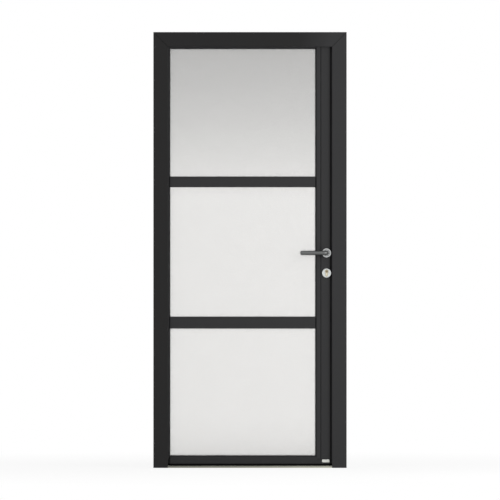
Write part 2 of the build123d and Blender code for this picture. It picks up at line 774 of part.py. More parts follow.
def build_glazing(nodes):
    tubes = (TUBE_LEFT, TUBE_RIGHT, TUBE_BOTTOM, TUBE_TOP)
    legs = (LEG_LEFT, LEG_RIGHT, LEG_BOTTOM, LEG_TOP)
    sight = inset(legs, SIGHT_GASKET)
    glass = inset(tubes, GLASS_CLEAR)
    nodes["outer_pane"] = block(*glass[:2], OUTER_PANE_FRONT, OUTER_PANE_BACK, *glass[2:])
    nodes["inner_pane"] = block(*glass[:2], INNER_PANE_FRONT, INNER_PANE_BACK, *glass[2:])
    spacer = inset(glass, SPACER_INSET)
    nodes["pane_spacer"] = ring(spacer, inset(spacer, SPACER_WIDTH), OUTER_PANE_BACK, INNER_PANE_FRONT)
    nose_front = LEG_BACK - GASKET_NOSE
    nose = block(*legs[:2], nose_front, LEG_BACK, *legs[2:])
    slope = loft([opening_face(inset(legs, GASKET_FLAT), nose_front), opening_face(sight, LEG_BACK)])
    outer_gasket = ring(glass, sight, LEG_BACK, OUTER_PANE_FRONT) + (nose - slope)
    nodes["outer_glazing_gasket"] = outer_gasket
    nodes["inner_glazing_gasket"] = ring(glass, sight, INNER_PANE_BACK, BEAD_FRONT)
    nodes["glazing_beads"] = glazing_beads()
    nodes["setting_blocks"] = setting_blocks(glass)
    bars = [(UPPER_BAR_Z, UPPER_BAR_HEIGHT), (LOWER_BAR_Z, LOWER_BAR_HEIGHT)]
    faces = [profile(from_bottom(z), bar_section(height)) for z, height in bars]
    upper, lower = [along_x(face, sight[0], sight[1]) for face in faces]
    nodes["upper_outer_bar"] = upper
    nodes["lower_outer_bar"] = lower
    glass_middle = (OUTER_PANE_FRONT + INNER_PANE_BACK) / 2
    between_beads = (TUBE_LEFT + BEAD_WIDTH, TUBE_RIGHT - BEAD_WIDTH)
    room_bars = [along_x(face, *between_beads) for face in faces]
    nodes["inner_bars"] = [mirror(bar, about=Plane.XZ.offset(-glass_middle)) for bar in room_bars]


def bar_section(height):
    half = height / 2
    front = OUTER_PANE_FRONT - BAR_THICK
    return [
        (-half, OUTER_PANE_FRONT),
        (-half, front + BAR_BEVEL),
        (-half + BAR_BEVEL, front),
        (half - BAR_BEVEL, front),
        (half, front + BAR_BEVEL),
        (half, OUTER_PANE_FRONT),
    ]


def glazing_beads():
    """Four hollow beads that press the glass in from the room side; the level ones run full width."""
    outline = [
        (0, BEAD_FRONT),
        (BEAD_WIDTH, BEAD_FRONT),
        (BEAD_WIDTH, LEAF_BACK - BEAD_BEVEL),
        (BEAD_WIDTH - BEAD_BEVEL, LEAF_BACK),
        (0, LEAF_BACK),
    ]
    hollow = oblong(
        BEAD_WALL,
        BEAD_WIDTH - BEAD_BEVEL,
        BEAD_FRONT + BEAD_WALL,
        LEAF_BACK - BEAD_BEVEL + BEAD_WALL,
    )
    level = [from_top(TUBE_TOP), from_bottom(TUBE_BOTTOM)]
    upright = [from_left(TUBE_LEFT), from_right(TUBE_RIGHT)]
    beads = [along_x(profile(place, outline, [hollow]), TUBE_LEFT, TUBE_RIGHT) for place in level]
    low, high = TUBE_BOTTOM + BEAD_WIDTH, TUBE_TOP - BEAD_WIDTH
    return beads + [along_z(profile(place, outline, [hollow]), low, high) for place in upright]


def setting_blocks(glass):
    left, right, bottom, _ = glass
    starts = (left + BLOCK_FROM_CORNER, right - BLOCK_FROM_CORNER - BLOCK_LENGTH)
    return [
        block(x, x + BLOCK_LENGTH, OUTER_PANE_FRONT, INNER_PANE_BACK, TUBE_BOTTOM, bottom)
        for x in starts
    ]


def build_leaf_seals(nodes):
    bulb_near = LEAF_RIGHT - REBATE_SEAL_INSET - REBATE_SEAL_BULB
    bulb_far = bulb_near + REBATE_SEAL_BULB
    foot_near = bulb_far - REBATE_SEAL_FOOT
    foot_top = CHANNEL_FRONT - REBATE_SEAL_FOOT_HEIGHT
    section = polygon(
        [
            (foot_near, CHANNEL_FRONT),
            (foot_near, foot_top),
            (bulb_near, foot_top),
            (bulb_near, LIP_BACK + SEAL_GAP),
            (bulb_far, LIP_BACK + SEAL_GAP),
            (bulb_far, CHANNEL_FRONT),
        ]
    )
    nodes["rebate_seal"] = along_z(section, LEAF_BOTTOM, LEAF_TOP)
    base_low = LEAF_BOTTOM - SWEEP_BASE
    tip = THRESHOLD_HEIGHT + SEAL_GAP
    front, back = LEAF_FRONT + SWEEP_MARGIN, LEAF_BACK - SWEEP_MARGIN
    section = polygon(
        [
            (front, LEAF_BOTTOM),
            (front, tip),
            (front + FIN_THICK, tip),
            (front + FIN_THICK, base_low),
            (BREAK_FRONT - FIN_THICK, base_low),
            (BREAK_FRONT - FIN_THICK, LEAF_BOTTOM),
        ]
    )
    inner = polygon(
        [
            (back, LEAF_BOTTOM),
            (back, base_low),
            (back - SILL_BEVEL, base_low),
            (back - SILL_BEVEL, tip),
            (back - SILL_BEVEL - FIN_THICK, tip),
            (back - SILL_BEVEL - FIN_THICK, LEAF_BOTTOM),
        ]
    )
    front_left, front_right = LEAF_LEFT + HINGE_END_NOTCH, LEAF_RIGHT - LOCK_REBATE
    left, right = LEAF_LEFT + SWEEP_INSET, LEAF_RIGHT - SWEEP_INSET
    nodes["sweep_seals"] = [along_x(section, front_left, front_right), along_x(inner, left, right)]


# Hinges

def hinge_half(side, z0, z1, knuckle_low, knuckle_high, bore):
    """A plate on the room face, a barrel on the axis and the web between them; side -1 is the frame."""
    face = LEAF_BACK + PLATE_THICK
    near = HINGE_X + side * PLATE_GAP
    plate = block(near, near + side * PLATE_WIDTH, LEAF_BACK, face, z0, z1)
    web = polygon(
        [
            (near, face),
            (near + side * WEB_WIDTH, face),
            (HINGE_X + side * BARREL_RADIUS, HINGE_Y),
            (HINGE_X, HINGE_Y),
            (HINGE_X, face + WEB_RISE),
        ]
    )
    barrel = web + Pos(HINGE_X, HINGE_Y) * Circle(BARREL_RADIUS)
    return plate + along_z(barrel, knuckle_low, knuckle_high) - along_z(
        Pos(HINGE_X, HINGE_Y) * Circle(bore), z0 + PIN_END_COVER, z1 - PIN_END_COVER
    )


def hinge_pin(z0, z1, middle):
    spot = Pos(HINGE_X, HINGE_Y)
    pin = along_z(spot * Circle(PIN_RADIUS), z0 + PIN_END_COVER, z1 - PIN_END_COVER - COLLAR_THICK)
    collar = along_z(spot * Circle(COLLAR_RADIUS), middle - COLLAR_THICK / 2, middle + COLLAR_THICK / 2)
    return pin + collar


def build_hinges(nodes):
    frame_halves, leaf_halves, pins = [], [], []
    for z in HINGE_HEIGHTS:
        z0, z1 = z - HINGE_LENGTH / 2, z + HINGE_LENGTH / 2
        low, high = z - COLLAR_THICK / 2, z + COLLAR_THICK / 2
        frame_halves.append(hinge_half(-1, z0, z1, z0, low, PIN_RADIUS))
        leaf_halves.append(hinge_half(1, z0, z1, high + KNUCKLE_GAP, z1, PIN_RADIUS + PIN_CLEAR))
        pins.append(hinge_pin(z0, z1, z))
    nodes["hinge_frame_halves"] = frame_halves
    nodes["hinge_leaf_halves"] = leaf_halves
    nodes["hinge_pins"] = pins


# Lock and bolts

def bolt_slot(z, height, thick, x0, x1, clear):
    half_y, half_z = thick / 2 + clear, height / 2 + clear
    return block(x0, x1, BOLT_Y - half_y, BOLT_Y + half_y, z - half_z, z + half_z)


def pin_slot(z, x0, x1, clear):
    return along_x(Pos(BOLT_Y, z) * Circle(END_BOLT_RADIUS + clear), x0, x1)


def bolt_holes(x0, x1):
    """The passages of latch, deadbolt and end bolts between two planes."""
    holes = bolt_slot(LEVER_Z, LATCH_HEIGHT, LATCH_THICK, x0, x1, BOLT_CLEAR)
    holes += bolt_slot(DEADBOLT_Z, DEADBOLT_HEIGHT, DEADBOLT_THICK, x0, x1, BOLT_CLEAR)
    for z in END_BOLT_HEIGHTS:
        holes += pin_slot(z, x0, x1, BOLT_CLEAR)
    return holes


def channel_plate(x0, x1, z0, z1):
    """A plate with rounded ends that lies in the hardware channel."""
    front, back = CHANNEL_FRONT + FACEPLATE_FIT, CHANNEL_BACK - FACEPLATE_FIT
    centre = Pos((front + back) / 2, (z0 + z1) / 2)
    shape = SlotOverall(z1 - z0, back - front, rotation=90)
    return along_x(centre * shape, x0, x1)


def build_lock(nodes):
    holes = bolt_holes(CASE_FRONT - OVERRUN, LEAF_RIGHT + OVERRUN)
    nodes["lock_faceplate"] = channel_plate(CASE_FRONT, LEAF_RIGHT, FACEPLATE_BOTTOM, FACEPLATE_TOP) - holes
    front, back = BOLT_Y - CASE_THICK / 2, BOLT_Y + CASE_THICK / 2
    case = block(CASE_BACK, CASE_FRONT, front, back, CASE_BOTTOM, CASE_TOP)
    latch_tail = LEAF_RIGHT + LATCH_PROJECTION - LATCH_LENGTH
    latch_room = latch_tail - LATCH_PROJECTION - POCKET_SPARE
    latch_end = CASE_FRONT + OVERRUN
    case -= bolt_slot(LEVER_Z, LATCH_HEIGHT, LATCH_THICK, latch_room, latch_end, BOLT_CLEAR)
    dead_tail = BOLT_TIP - DEADBOLT_LENGTH
    case -= bolt_slot(
        DEADBOLT_Z,
        DEADBOLT_HEIGHT,
        DEADBOLT_THICK,
        dead_tail - POCKET_SPARE,
        latch_end,
        BOLT_CLEAR,
    )
    case -= disc(LOCK_X, LEVER_Z, FOLLOWER_RADIUS + FOLLOWER_CLEAR, front - OVERRUN, back + OVERRUN)
    case -= along_y(cylinder_face(CYLINDER_FIT), front - OVERRUN, back + OVERRUN)
    cam_room = CAM_WIDTH / 2 + CAM_SWEEP_CLEAR / 2
    case -= disc(LOCK_X, PLUG_Z, CAM_REACH + CAM_SWEEP_CLEAR, BOLT_Y - cam_room, BOLT_Y + cam_room)
    nodes["lock_case"] = case
    nodes["latch_bolt"] = latch_bolt(latch_tail)
    nodes["deadbolt"] = deadbolt(dead_tail)
    cases, bolts = [], []
    for z in END_BOLT_HEIGHTS:
        half = END_CASE_HEIGHT / 2
        tail = BOLT_TIP - END_BOLT_LENGTH
        box = block(CASE_FRONT - END_CASE_DEPTH, CASE_FRONT, front, back, z - half, z + half)
        cases.append(box - pin_slot(z, tail - POCKET_SPARE, latch_end, BOLT_CLEAR))
        bolt = pin_slot(z, tail, BOLT_TIP, 0)
        bolts.append(chamfer(bolt.edges().group_by(Axis.X)[-1], BOLT_BEVEL))
    nodes["end_bolt_cases"] = cases
    nodes["end_bolts"] = bolts
    nodes["drive_rods"] = drive_rods()
    build_strikes(nodes)


def latch_bolt(tail):
    """The latch slopes on the side that meets the strike first as the leaf swings shut."""
    tip = LEAF_RIGHT + LATCH_PROJECTION
    front, back = BOLT_Y - LATCH_THICK / 2, BOLT_Y + LATCH_THICK / 2
    section = polygon(
        [
            (tail, front),
            (tip - LATCH_PROJECTION + FACEPLATE_THICK, front),
            (tip, front + LATCH_BEVEL),
            (tip, back),
            (tail, back),
        ]
    )
    return along_z(section, LEVER_Z - LATCH_HEIGHT / 2, LEVER_Z + LATCH_HEIGHT / 2)


def deadbolt(tail):
    bolt = bolt_slot(DEADBOLT_Z, DEADBOLT_HEIGHT, DEADBOLT_THICK, tail, BOLT_TIP, 0)
    return chamfer(bolt.edges().group_by(Axis.X)[-1], BOLT_BEVEL)


def drive_rods():
    """Flat rods behind the faceplate, each with room above it for its travel."""
    x1 = CASE_FRONT - ROD_GAP
    x0 = x1 - ROD_THICK
    front, back = BOLT_Y - ROD_WIDTH / 2, BOLT_Y + ROD_WIDTH / 2
    half = END_CASE_HEIGHT / 2
    lower, upper = END_BOLT_HEIGHTS
    spans = [(lower + half, CASE_BOTTOM), (CASE_TOP, upper - half)]
    room = ROD_TRAVEL + ROD_SPARE
    return [block(x0, x1, front, back, z0 + ROD_SPARE, z1 - room) for z0, z1 in spans]


def build_strikes(nodes):
    x0 = WIDTH / 2 - FRAME_BODY
    x1 = x0 + FACEPLATE_THICK
    holes = bolt_holes(x0 - OVERRUN, x1 + OVERRUN)
    low = DEADBOLT_Z - DEADBOLT_HEIGHT / 2 - STRIKE_MARGIN
    high = LEVER_Z + LATCH_HEIGHT / 2 + STRIKE_MARGIN
    nodes["main_strike"] = channel_plate(x0, x1, low, high) - holes
    reach = END_BOLT_RADIUS + STRIKE_MARGIN
    nodes["bolt_strikes"] = [channel_plate(x0, x1, z - reach, z + reach) - holes for z in END_BOLT_HEIGHTS]


# Levers and key cylinder

def rose(centre_z):
    """A turned plate with a bevelled edge and a shallow dish inside its rim."""
    front = LEAF_FRONT - ROSE_THICK
    plate = disc(LOCK_X, centre_z, ROSE_RADIUS, front, LEAF_FRONT)
    plate = chamfer(plate.edges().group_by(Axis.Y)[0], ROSE_BEVEL)
    return plate - disc(LOCK_X, centre_z, ROSE_RADIUS - ROSE_RIM, front - OVERRUN, front + ROSE_DISH)


def lever():
    """A round bar, bent towards the leaf, with a turned neck in the rose and a square socket."""
    rose_face = LEAF_FRONT - ROSE_THICK
    bar_y = LEAF_FRONT - LEVER_REACH
    bend_x, bend_y = LOCK_X - LEVER_BEND, bar_y + LEVER_BEND
    section = Pos(bar_y, LEVER_Z) * Circle(LEVER_RADIUS)
    bar = along_x(section, LOCK_X - LEVER_LENGTH, bend_x)
    bar = fillet(bar.edges().group_by(Axis.X)[0], LEVER_TIP_ROUND)
    start = Plane(origin=(bend_x, 0, 0), x_dir=(0, 1, 0), z_dir=(1, 0, 0)) * section
    bend = revolve(start, axis=Axis((bend_x, bend_y, 0), (0, 0, 1)), revolution_arc=90)
    tube = disc(LOCK_X, LEVER_Z, LEVER_RADIUS, bend_y, rose_face - NECK_GAP)
    neck = disc(LOCK_X, LEVER_Z, NECK_RADIUS, rose_face - NECK_GAP, rose_face + NECK_SINK)
    half = (SPINDLE_SIDE + SPINDLE_FIT) / 2
    socket = block(
        LOCK_X - half,
        LOCK_X + half,
        rose_face - SPINDLE_BITE,
        rose_face + NECK_SINK + OVERRUN,
        LEVER_Z - half,
        LEVER_Z + half,
    )
    return bar + bend + tube + neck - socket


def cylinder_face(clear=0):
    """The keyhole-shaped outline of the cylinder: a round top on a narrow leg."""
    radius, half = CYLINDER_RADIUS + clear, CYLINDER_LEG / 2 + clear
    leg_end = PLUG_Z + CYLINDER_RADIUS - CYLINDER_HEIGHT - clear + half
    leg = polygon(
        [
            (LOCK_X - half, PLUG_Z),
            (LOCK_X + half, PLUG_Z),
            (LOCK_X + half, leg_end),
            (LOCK_X - half, leg_end),
        ]
    )
    return Pos(LOCK_X, PLUG_Z) * Circle(radius) + leg + Pos(LOCK_X, leg_end) * Circle(half)


def build_handle(nodes):
    collar = disc(LOCK_X, LEVER_Z, NECK_RADIUS + ROSE_COLLAR, LEAF_FRONT - ROSE_THICK, LEAF_FRONT)
    lever_rose = rose(LEVER_Z) + collar
    front, back = LEAF_FRONT - ROSE_THICK - OVERRUN, LEAF_FRONT + OVERRUN
    lever_rose -= disc(LOCK_X, LEVER_Z, NECK_RADIUS + NECK_CLEAR, front, back)
    nodes["outer_lever_rose"] = lever_rose
    nodes["inner_lever_rose"] = to_room_side(lever_rose)
    key_rose = rose(PLUG_Z + CYLINDER_RADIUS - CYLINDER_HEIGHT / 2)
    key_rose -= along_y(cylinder_face(CYLINDER_ROSE_GAP), front, back)
    nodes["outer_cylinder_rose"] = key_rose
    nodes["inner_cylinder_rose"] = to_room_side(key_rose)
    outer = lever()
    nodes["outer_lever"] = outer
    nodes["inner_lever"] = to_room_side(outer)
    half = SPINDLE_SIDE / 2
    reach = LEAF_MIDDLE - LEAF_FRONT + ROSE_THICK + SPINDLE_BITE
    spindle = block(LOCK_X - half, LOCK_X + half, -reach, reach, LEVER_Z - half, LEVER_Z + half)
    nodes["spindle"] = Pos(0, LEAF_MIDDLE, 0) * spindle
    hub_front, hub_back = BOLT_Y - CASE_THICK / 2, BOLT_Y + CASE_THICK / 2
    square = Pos(LOCK_X, LEVER_Z) * Rectangle(SPINDLE_SIDE + SPINDLE_FIT, SPINDLE_SIDE + SPINDLE_FIT)
    hub = Pos(LOCK_X, LEVER_Z) * Circle(FOLLOWER_RADIUS) - square
    nodes["follower"] = along_y(hub, hub_front, hub_back)


def build_cylinder(nodes):
    front = LEAF_FRONT - ROSE_THICK - CYLINDER_PROUD
    back = LEAF_BACK + ROSE_THICK + CYLINDER_PROUD
    cam_front, cam_back = BOLT_Y - CAM_WIDTH / 2, BOLT_Y + CAM_WIDTH / 2
    body = along_y(cylinder_face(), front, back)
    body -= disc(LOCK_X, PLUG_Z, PLUG_RADIUS + PLUG_CLEAR, front - OVERRUN, back + OVERRUN)
    half = CYLINDER_RADIUS + OVERRUN
    slot_low = PLUG_Z - CAM_REACH - CAM_SWEEP_CLEAR
    slot_high = PLUG_Z + CYLINDER_RADIUS + OVERRUN
    body -= block(
        LOCK_X - half,
        LOCK_X + half,
        cam_front - CAM_SIDE_CLEAR,
        cam_back + CAM_SIDE_CLEAR,
        slot_low,
        slot_high,
    )
    nodes["cylinder_body"] = body
    plug = disc(LOCK_X, PLUG_Z, PLUG_RADIUS, front - PLUG_PROUD, cam_front)
    plug -= block(
        LOCK_X - KEYWAY_WIDTH / 2,
        LOCK_X + KEYWAY_WIDTH / 2,
        front - PLUG_PROUD - OVERRUN,
        front + KEYWAY_DEPTH,
        PLUG_Z - KEYWAY_HEIGHT / 2,
        PLUG_Z + KEYWAY_HEIGHT / 2,
    )
    nodes["key_plug"] = plug
    tab = block(
        LOCK_X - CAM_TAB / 2,
        LOCK_X + CAM_TAB / 2,
        cam_front,
        cam_back,
        PLUG_Z - CAM_REACH,
        PLUG_Z,
    )
    tab &= disc(LOCK_X, PLUG_Z, CAM_REACH, cam_front, cam_back)
    nodes["cylinder_cam"] = disc(LOCK_X, PLUG_Z, CYLINDER_RADIUS, cam_front, cam_back) + tab
    shaft = disc(LOCK_X, PLUG_Z, PLUG_RADIUS, cam_back, back + TURN_GAP)
    paddle = Pos(LOCK_X, PLUG_Z) * SlotOverall(TURN_LENGTH, TURN_WIDTH, rotation=90)
    paddle = along_y(paddle, back + TURN_GAP, back + TURN_GAP + TURN_DEPTH)
    paddle = chamfer(paddle.edges().group_by(Axis.Y)[-1], TURN_BEVEL)
    nodes["thumb_turn"] = shaft + paddle


def build_door():
    nodes = {}
    build_frame(nodes)
    build_threshold(nodes)
    build_sash(nodes)
    build_glazing(nodes)
    build_leaf_seals(nodes)
    build_hinges(nodes)
    build_lock(nodes)
    build_handle(nodes)
    build_cylinder(nodes)
    return nodes


os.makedirs("parts", exist_ok=True)
for name, piece in build_door().items():
    pieces = piece if isinstance(piece, list) else [piece]
    solids = [solid for item in pieces for solid in item.solids()]
    whole = solids[0] if len(solids) == 1 else Compound(children=solids)
    export_step(whole, f"parts/{name}.step")
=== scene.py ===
import json
import math

import bmesh
import bpy
from bpy.props import FloatProperty, FloatVectorProperty, PointerProperty
from mathutils import Matrix, Vector


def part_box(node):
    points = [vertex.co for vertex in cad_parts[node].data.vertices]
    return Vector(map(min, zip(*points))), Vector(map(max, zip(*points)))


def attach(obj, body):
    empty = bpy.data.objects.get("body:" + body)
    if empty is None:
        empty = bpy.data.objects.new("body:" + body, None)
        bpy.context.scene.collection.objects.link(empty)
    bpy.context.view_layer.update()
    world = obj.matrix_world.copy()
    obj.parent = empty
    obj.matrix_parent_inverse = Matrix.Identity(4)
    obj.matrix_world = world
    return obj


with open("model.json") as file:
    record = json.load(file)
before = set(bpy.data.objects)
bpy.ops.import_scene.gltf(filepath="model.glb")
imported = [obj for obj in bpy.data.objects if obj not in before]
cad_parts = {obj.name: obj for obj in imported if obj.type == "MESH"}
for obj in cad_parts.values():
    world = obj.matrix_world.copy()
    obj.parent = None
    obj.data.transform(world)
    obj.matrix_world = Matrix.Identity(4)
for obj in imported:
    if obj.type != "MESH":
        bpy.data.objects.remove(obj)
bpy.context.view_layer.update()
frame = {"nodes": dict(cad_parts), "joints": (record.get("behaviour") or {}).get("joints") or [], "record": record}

bl_info = {
    "name": "Aluminium entrance door",
    "version": (1, 0, 0),
    "blender": (4, 5, 0),
    "location": "View3D > Sidebar > Door",
    "description": "Finishes, small fittings and stage for a glazed aluminium entrance door",
    "category": "Object",
}


def centre(node):
    low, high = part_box(node)
    return (low + high) / 2


# Places that the door's own pieces give, in metres
FRAME_LOW, FRAME_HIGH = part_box("hinge_jamb_outer_shell")[0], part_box("lock_jamb_outer_shell")[1]
HEAD_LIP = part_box("head_outer_shell")[0].z
LIP_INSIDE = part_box("hinge_jamb_outer_shell")[1].x
ROOM_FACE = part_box("hinge_jamb_inner_shell")[1].y
REBATE_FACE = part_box("lock_jamb_inner_shell")[0].x
HEAD_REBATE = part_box("head_inner_shell")[0].z
STILE_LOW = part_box("lock_stile_outer_shell")[0]
SASH_LOW, SASH_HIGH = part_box("hinge_stile_inner_shell")
RAIL_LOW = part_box("bottom_rail_outer_shell")[0]
FACEPLATE_LOW, FACEPLATE_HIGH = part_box("lock_faceplate")
STRIKE_LOW, STRIKE_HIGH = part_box("main_strike")
CASE_LOW, CASE_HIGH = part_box("lock_case")
GLASS_LOW, GLASS_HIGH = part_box("outer_pane")
LEVER_CENTRE = centre("outer_lever_rose")
PLUG_CENTRE = centre("key_plug")
CYLINDER_ROSE_CENTRE = centre("outer_cylinder_rose")
ROSE_RADIUS = LEVER_CENTRE.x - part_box("outer_lever_rose")[0].x
LEAF_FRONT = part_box("outer_lever_rose")[1].y
LEAF_EDGE = FACEPLATE_HIGH.x
BOLT_LINE = (FACEPLATE_LOW.y + FACEPLATE_HIGH.y) / 2
END_BOLT_RADIUS = (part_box("end_bolts")[1].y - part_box("end_bolts")[0].y) / 2
END_BOLT_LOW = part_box("end_bolts")[0].z + END_BOLT_RADIUS
END_BOLT_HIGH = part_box("end_bolts")[1].z - END_BOLT_RADIUS
HINGE_LOW, HINGE_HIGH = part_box("hinge_frame_halves")
HINGE_LEAF_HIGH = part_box("hinge_leaf_halves")[1]
HINGE_AXIS = Vector(next(j["pos_m"] for j in frame["joints"] if j["name"] == "leaf_swing"))

# Nodes that share a finish, by the name of their slot in the record
NODES_BY_SLOT = {}
for row in frame["record"]["subparts"]:
    NODES_BY_SLOT.setdefault(row["material_slot"], []).append(row["node"])

QUARTER_TURN = math.radians(90)
SMOOTH_ANGLE = math.radians(35)
MM_PER_M = 1000

# Which way a face looks along Y
OUTWARDS, INWARDS = -1, 1

# Least upward part of a top face's normal, and how near in height faces count as level
UPWARD_PART, LEVEL_WITHIN = 0.9, 1e-6

# Steps inwards on a round head, as shares of its radius and of its rise
SCREW_CROWN = ((0.3, 0.35),)
CAP_CROWN = ((0.35, 0.25), (0.35, 0.1))
# Share of a cap's radius beyond which an edge belongs to its rim
RIM_FROM = 0.999
# Rounding of a cap's rim and of a joint line's upper edges, as a share of the rise
CAP_ROUNDING, LINE_ROUNDING = 0.4, 0.6


# Sizes and colours


def colour(name, description, default):
    return FloatVectorProperty(
        name=name, description=description, default=default, subtype="COLOR", size=3, min=0, max=1
    )


def length(name, description, default):
    return FloatProperty(name=name, description=description, default=default, unit="LENGTH", min=0)


def power(name, description, default):
    return FloatProperty(name=name, description=description, default=default, unit="POWER", min=0)


class DoorColours(bpy.types.PropertyGroup):
    coat: colour(
        "Powder coat", "Anthracite coat of leaf, bars and lock jamb", (0.0220, 0.0220, 0.0229)
    )
    # The coat darkened with painted shade, for the hinge jamb and head
    coat_in_painted_shade: colour(
        "Deep coat", "Anthracite coat of hinge jamb and head", (0.0078, 0.0074, 0.0075)
    )
    sill: colour("Sill", "Natural anodised threshold", (0.315, 0.315, 0.268))
    rubber: colour("Rubber", "Seals and glazing gaskets", (0.010, 0.010, 0.011))
    # Black rubber darkened further with painted shade, for the seals in the gap over the sill
    sweep_rubber_painted_shade: colour(
        "Sweep rubber", "Dull seals between the leaf and the sill", (0.003, 0.003, 0.003)
    )
    polyamide: colour(
        "Polyamide", "Thermal strips, spacer, blocks and packers", (0.016, 0.016, 0.016)
    )
    glass: colour("Etched glass", "Lightest tone of the etched pane", (0.940, 0.921, 0.914))
    clear_glass: colour("Clear glass", "Tint of the inner pane", (0.95, 0.97, 0.96))
    lever: colour("Lever steel", "Brushed stainless of the levers", (0.125, 0.128, 0.127))
    lever_rose: colour("Lever rose", "Turned stainless of the lever roses", (0.54, 0.55, 0.55))
    rose: colour(
        "Cylinder rose", "Bright turned stainless round the key cylinder", (0.66, 0.68, 0.67)
    )
    plate: colour("Plate steel", "Brushed stainless of faceplate and strikes", (0.46, 0.46, 0.45))
    steel: colour("Lock steel", "Zinc-plated steel of case, bolts and rods", (0.40, 0.40, 0.38))
    brass: colour("Brass", "Pale brass of the key cylinder", (0.66, 0.60, 0.45))
    plug_brass: colour("Plug brass", "Darker brass of the key plug and cam", (0.30, 0.25, 0.17))
    badge: colour("Badge", "Blank plate on the bottom rail", (0.665, 0.672, 0.638))
    # Near black, for the sealant and for painted shade in the joint
    sealant: colour(
        "Joint sealant", "Hairline at the mitres and butt joints", (0.002, 0.002, 0.002)
    )
    cap: colour("Caps", "Caps over the wall fixings and on the hinges", (0.018, 0.018, 0.018))


class DoorSizes(bpy.types.PropertyGroup):
    badge_width: length("Badge width", "Width of the blank plate", 0.0365)
    badge_height: length("Badge height", "Height of the blank plate", 0.014)
    badge_thickness: length("Badge thickness", "How far the plate stands on the rail", 0.0012)
    badge_corner: length("Badge corner", "Corner radius of the plate", 0.0015)
    badge_from_edge: length("Badge inset", "From the right end of the leaf's face", 0.0036)
    badge_from_bottom: length("Badge rise", "From the rail's lower edge to the plate", 0.0074)
    face_gap: length("Face gap", "From the leaf's face to the frame's lip", 0.0093)
    screw_radius: length("Screw radius", "Radius of a screw head", 0.0038)
    screw_rise: length("Screw rise", "How far a screw head stands out", 0.0005)
    screw_socket: length("Screw socket", "Radius of the hexagon socket", 0.0017)
    cap_radius: length("Cap radius", "Radius of a fixing cap", 0.0074)
    cap_rise: length("Cap rise", "How far a fixing cap stands out", 0.0009)
    packer_width: length("Packer width", "Width of a strike packer, between the two shells", 0.018)
    packer_thickness: length("Packer thickness", "Thickness of a strike packer", 0.003)
    packer_recess: length("Packer recess", "From the strike's back to the packer's face", 0.004)
    sealant_width: length("Sealant width", "Width of a joint line", 0.0014)
    sealant_rise: length("Sealant rise", "How far a joint line stands out", 0.00008)
    barrel_radius: length("Hinge cap radius", "Radius of the caps on the hinge barrels", 0.0086)
    barrel_rise: length("Hinge cap rise", "Height of the caps on the hinge barrels", 0.0022)
    hinge_length: length("Hinge length", "Length of one hinge", 0.100)
    hinge_plate: length("Hinge plate", "Thickness of a hinge plate", 0.003)
    hinge_screw_step: length("Hinge screw step", "Distance between two screws of a plate", 0.035)
    hinge_screw_inset: length("Hinge screw inset", "From a plate's outer edge to its screws", 0.008)
    plate_screw_inset: length("Plate screw inset", "From a plate's end to its first screw", 0.0115)


class DoorStage(bpy.types.PropertyGroup):
    camera_distance: length("Camera distance", "From the camera to the frame's face", 40.0)
    picture_width: length("Picture width", "Width of the picture at the frame's face", 2.4836)
    eye_height: length("Eye height", "Height of the camera over the floor", 1.0825)
    sensor: FloatProperty(
        name="Sensor", description="Sensor width in millimetres", default=36.0, unit="CAMERA"
    )
    floor_size: length("Floor size", "Side of the floor", 60.0)
    ambient: FloatProperty(
        name="Ambient", description="Level of the light from all round", default=0.62
    )
    key_power: power("Key lamp", "Power of the right lamp", 70.0)
    fill_power: power("Fill lamp", "Power of the left lamp", 12.0)


# Materials


